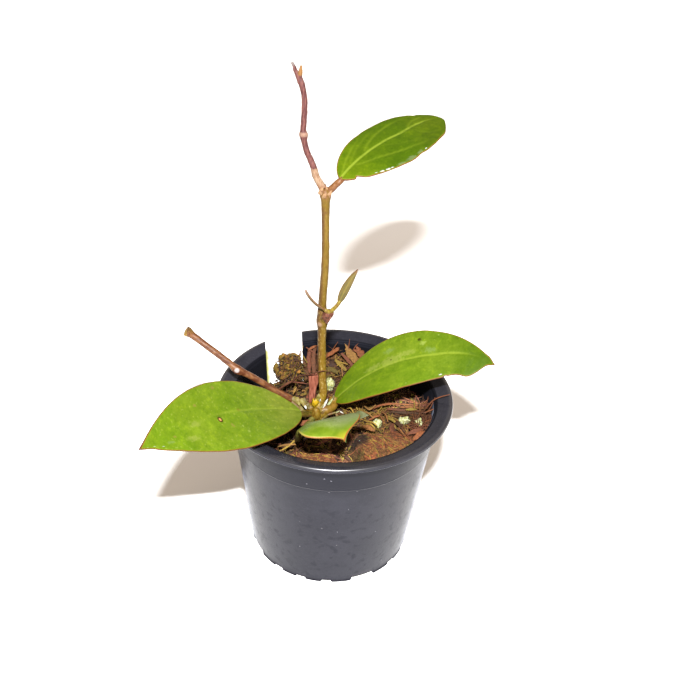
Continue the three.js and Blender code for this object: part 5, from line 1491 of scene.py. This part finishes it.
def add_fibres(name, count, seed, places, lengths, thick, climb, tints, heading=None, spread_by=0.5):
    """Fibres from places, with their length and thickness drawn from the ranges given."""
    own = np.random.default_rng(seed + 900)
    headings = own.uniform(0, TURN, count) if heading is None else own.normal(heading, spread_by, count)
    sheets = within_wall(fibres(count, seed, places, headings, own.normal(climb, 0.3, count),
                                own.uniform(*lengths, count), own.uniform(*thick, count)))
    make_piece(name, batch(sheets), fibre, "medium", tint=piece_tint(own.choice(tints, count), sheets))


def cover(name, sheet, count, seed, centre, size, heading, lengths, thick, tints):
    """Fibres laid over a chunk, along a heading in radians."""
    own = np.random.default_rng(seed)
    starts = own.normal(0, 1, (count, 2)) * size + centre
    made = draped(sheet, starts, own.normal(heading, 0.45, count), own.uniform(*lengths, count),
                  own.uniform(*thick, count), seed + 1)
    made = within_wall(made)
    make_piece(name, batch(made), fibre, "coir", tint=piece_tint(own.choice(tints, count), made))


draw = np.random.default_rng(1488)
MIXED = (DARK, DARK, DARK, BROWN, BROWN, 0.3, RED, TAN, OLIVE, 0.96)
add_shreds("bark_crumbs", 1400, 1, scatter(draw, 1400, 40.5), (0.9, 0.6, 0.4), (3.4, 1.9, 1.3),
           draw.choice(MIXED, 1400), 0.6, 0.3)
add_shreds("bark_shreds", 320, 2, scatter(draw, 320, 40), (3.2, 0.8, 0.5), (9, 2, 1.1), draw.choice(MIXED, 320), 0.4,
           0.3)
add_shreds("bark_chips", 60, 3, scatter(draw, 60, 37), (4, 2.2, 1.2), (8.5, 4, 2.2), draw.choice(MIXED[:7], 60),
           0.35, 0.6, rows=18, sides=14, ragged=0.12)
add_fibres("scattered_fibres", 900, 4, scatter(draw, 900, 40), (3, 12), (0.14, 0.34), 0.2,
           (BROWN, RED, TAN, STRAW, OLIVE))
add_fibres("rim_tangle", 420, 5, clump(draw, 420, (37.4, 0), 2.2, 6) + [0, 0, 1], (4, 11), (0.22, 0.5), 0.5,
           (BROWN, RED, RED, ORANGE))
add_fibres("straw_tangle", 620, 6, clump(draw, 620, (14, 3), 7, 5), (3, 10), (0.16, 0.4), 0.25,
           (TAN, STRAW, STRAW, 0.94, ORANGE, TAN))
add_fibres("rim_strands", 190, 8, clump(draw, 190, (25, 4), 5, 1.6), (6, 15), (0.22, 0.5), 0.05,
           (DARK, BROWN, RED, ORANGE), -0.12, 0.3)
add_fibres("back_tangle", 260, 7, clump(draw, 260, (2, 33), 8, 4), (4, 10), (0.2, 0.4), 0.35,
           (BROWN, RED, TAN, STRAW))
cover("chunk_right_fibres", right_chunk, 300, 31, (22, -21), (8, 6), -0.85, (2.5, 8), (0.18, 0.42),
      (BROWN, RED, ORANGE, TAN, OLIVE, STRAW))
cover("chunk_left_fibres", left_chunk, 320, 33, (-8, -32), (8, 4), -0.7, (2, 5), (0.22, 0.5),
      (BROWN, RED, ORANGE, ORANGE, TAN, STRAW))

strips = np.stack([torn_strip(knots, width, thick, 400 + 5 * n)
                   for n, (knots, width, thick, _) in enumerate(STRIPS)])
make_piece("torn_strips", batch(within_wall(strips)), husk, "medium",
           tint=piece_tint([tint for *_, tint in STRIPS], strips))
straws = np.stack([limb(knots, 50, 8) for knots, _ in STRAWS])
make_piece("loose_straws", batch(straws), fibre, "medium", tint=piece_tint([tint for _, tint in STRAWS], straws))

moss_draw = np.random.default_rng(77)
turn, rise = moss_draw.uniform(0, TURN, 260), moss_draw.uniform(-1, 1, 260)
level = np.sqrt(1 - rise**2)
shell = xyz(np.cos(turn) * level, np.sin(turn) * level, rise) * MOSS_SHELL
add_fibres("moss_strands", 260, 9, shell + MOSS_CLUMP["centre"], (1.5, 4.5), (0.4, 0.9), -0.3,
           (0.05, DARK, 0.24, BROWN, OLIVE, 0.94))


# Stage

def stage_floor():
    mesh = bpy.data.meshes.new("floor")
    half = 3.0
    mesh.from_pydata([(-half, -half, 0), (half, -half, 0), (half, half, 0), (-half, half, 0)], [], [(0, 1, 2, 3)])
    f = Finish("pale_floor", Roughness=0.9, Specular_IOR_Level=0.1)
    f.shader.inputs["Base Color"].default_value = (0.9, 0.9, 0.9, 1)
    mesh.materials.append(f.material)
    new_object("floor", mesh)


def area_light(name, shape, size, power, place):
    """A lamp with an area of size, aimed straight down."""
    light = bpy.data.lights.new(name, "AREA")
    light.shape = shape
    light.size, light.size_y = (side * MM for side in size)
    light.energy = power
    lamp = new_object(name, light)
    lamp.matrix_world = Matrix.Translation(Vector(place) * MM)
    return lamp


def key_light():
    lamp = area_light("key", "ELLIPSE", KEY_SIZE, KEY_POWER, KEY_PLACE)
    aim = (Vector(KEY_AIM) * MM - Vector(KEY_PLACE) * MM).to_track_quat("-Z", "Y")
    lamp.matrix_world = lamp.matrix_world @ aim.to_matrix().to_4x4()


def back_light():
    """A wide soft light high over the far floor, out of the camera's sight, that keeps that floor white."""
    lamp = area_light("back", "RECTANGLE", BACK_SIZE, BACK_POWER, BACK_PLACE)
    lamp.data.spread = np.radians(BACK_SPREAD)
    lamp.visible_camera = False


def fill_light():
    world = bpy.data.worlds.new("fill")
    world.use_nodes = True
    background = world.node_tree.nodes["Background"]
    background.inputs["Color"].default_value = (*FILL_COLOUR, 1)
    background.inputs["Strength"].default_value = FILL_STRENGTH
    bpy.context.scene.world = world


def view_camera():
    camera = bpy.data.cameras.new("view")
    camera.lens = CAMERA_LENS
    camera.sensor_width = CAMERA_SENSOR
    camera.clip_start = 0.01
    camera.clip_end = 20
    holder = new_object("view", camera)
    back = -Vector(CAMERA_FORWARD)
    turn = Matrix([CAMERA_RIGHT, CAMERA_UP, back]).transposed()
    holder.matrix_world = Matrix.Translation(Vector(CAMERA_PLACE) * MM) @ turn.to_4x4()
    bpy.context.scene.camera = holder


stage_floor()
key_light()
back_light()
fill_light()
view_camera()
bpy.context.scene.view_settings.view_transform = "Standard"
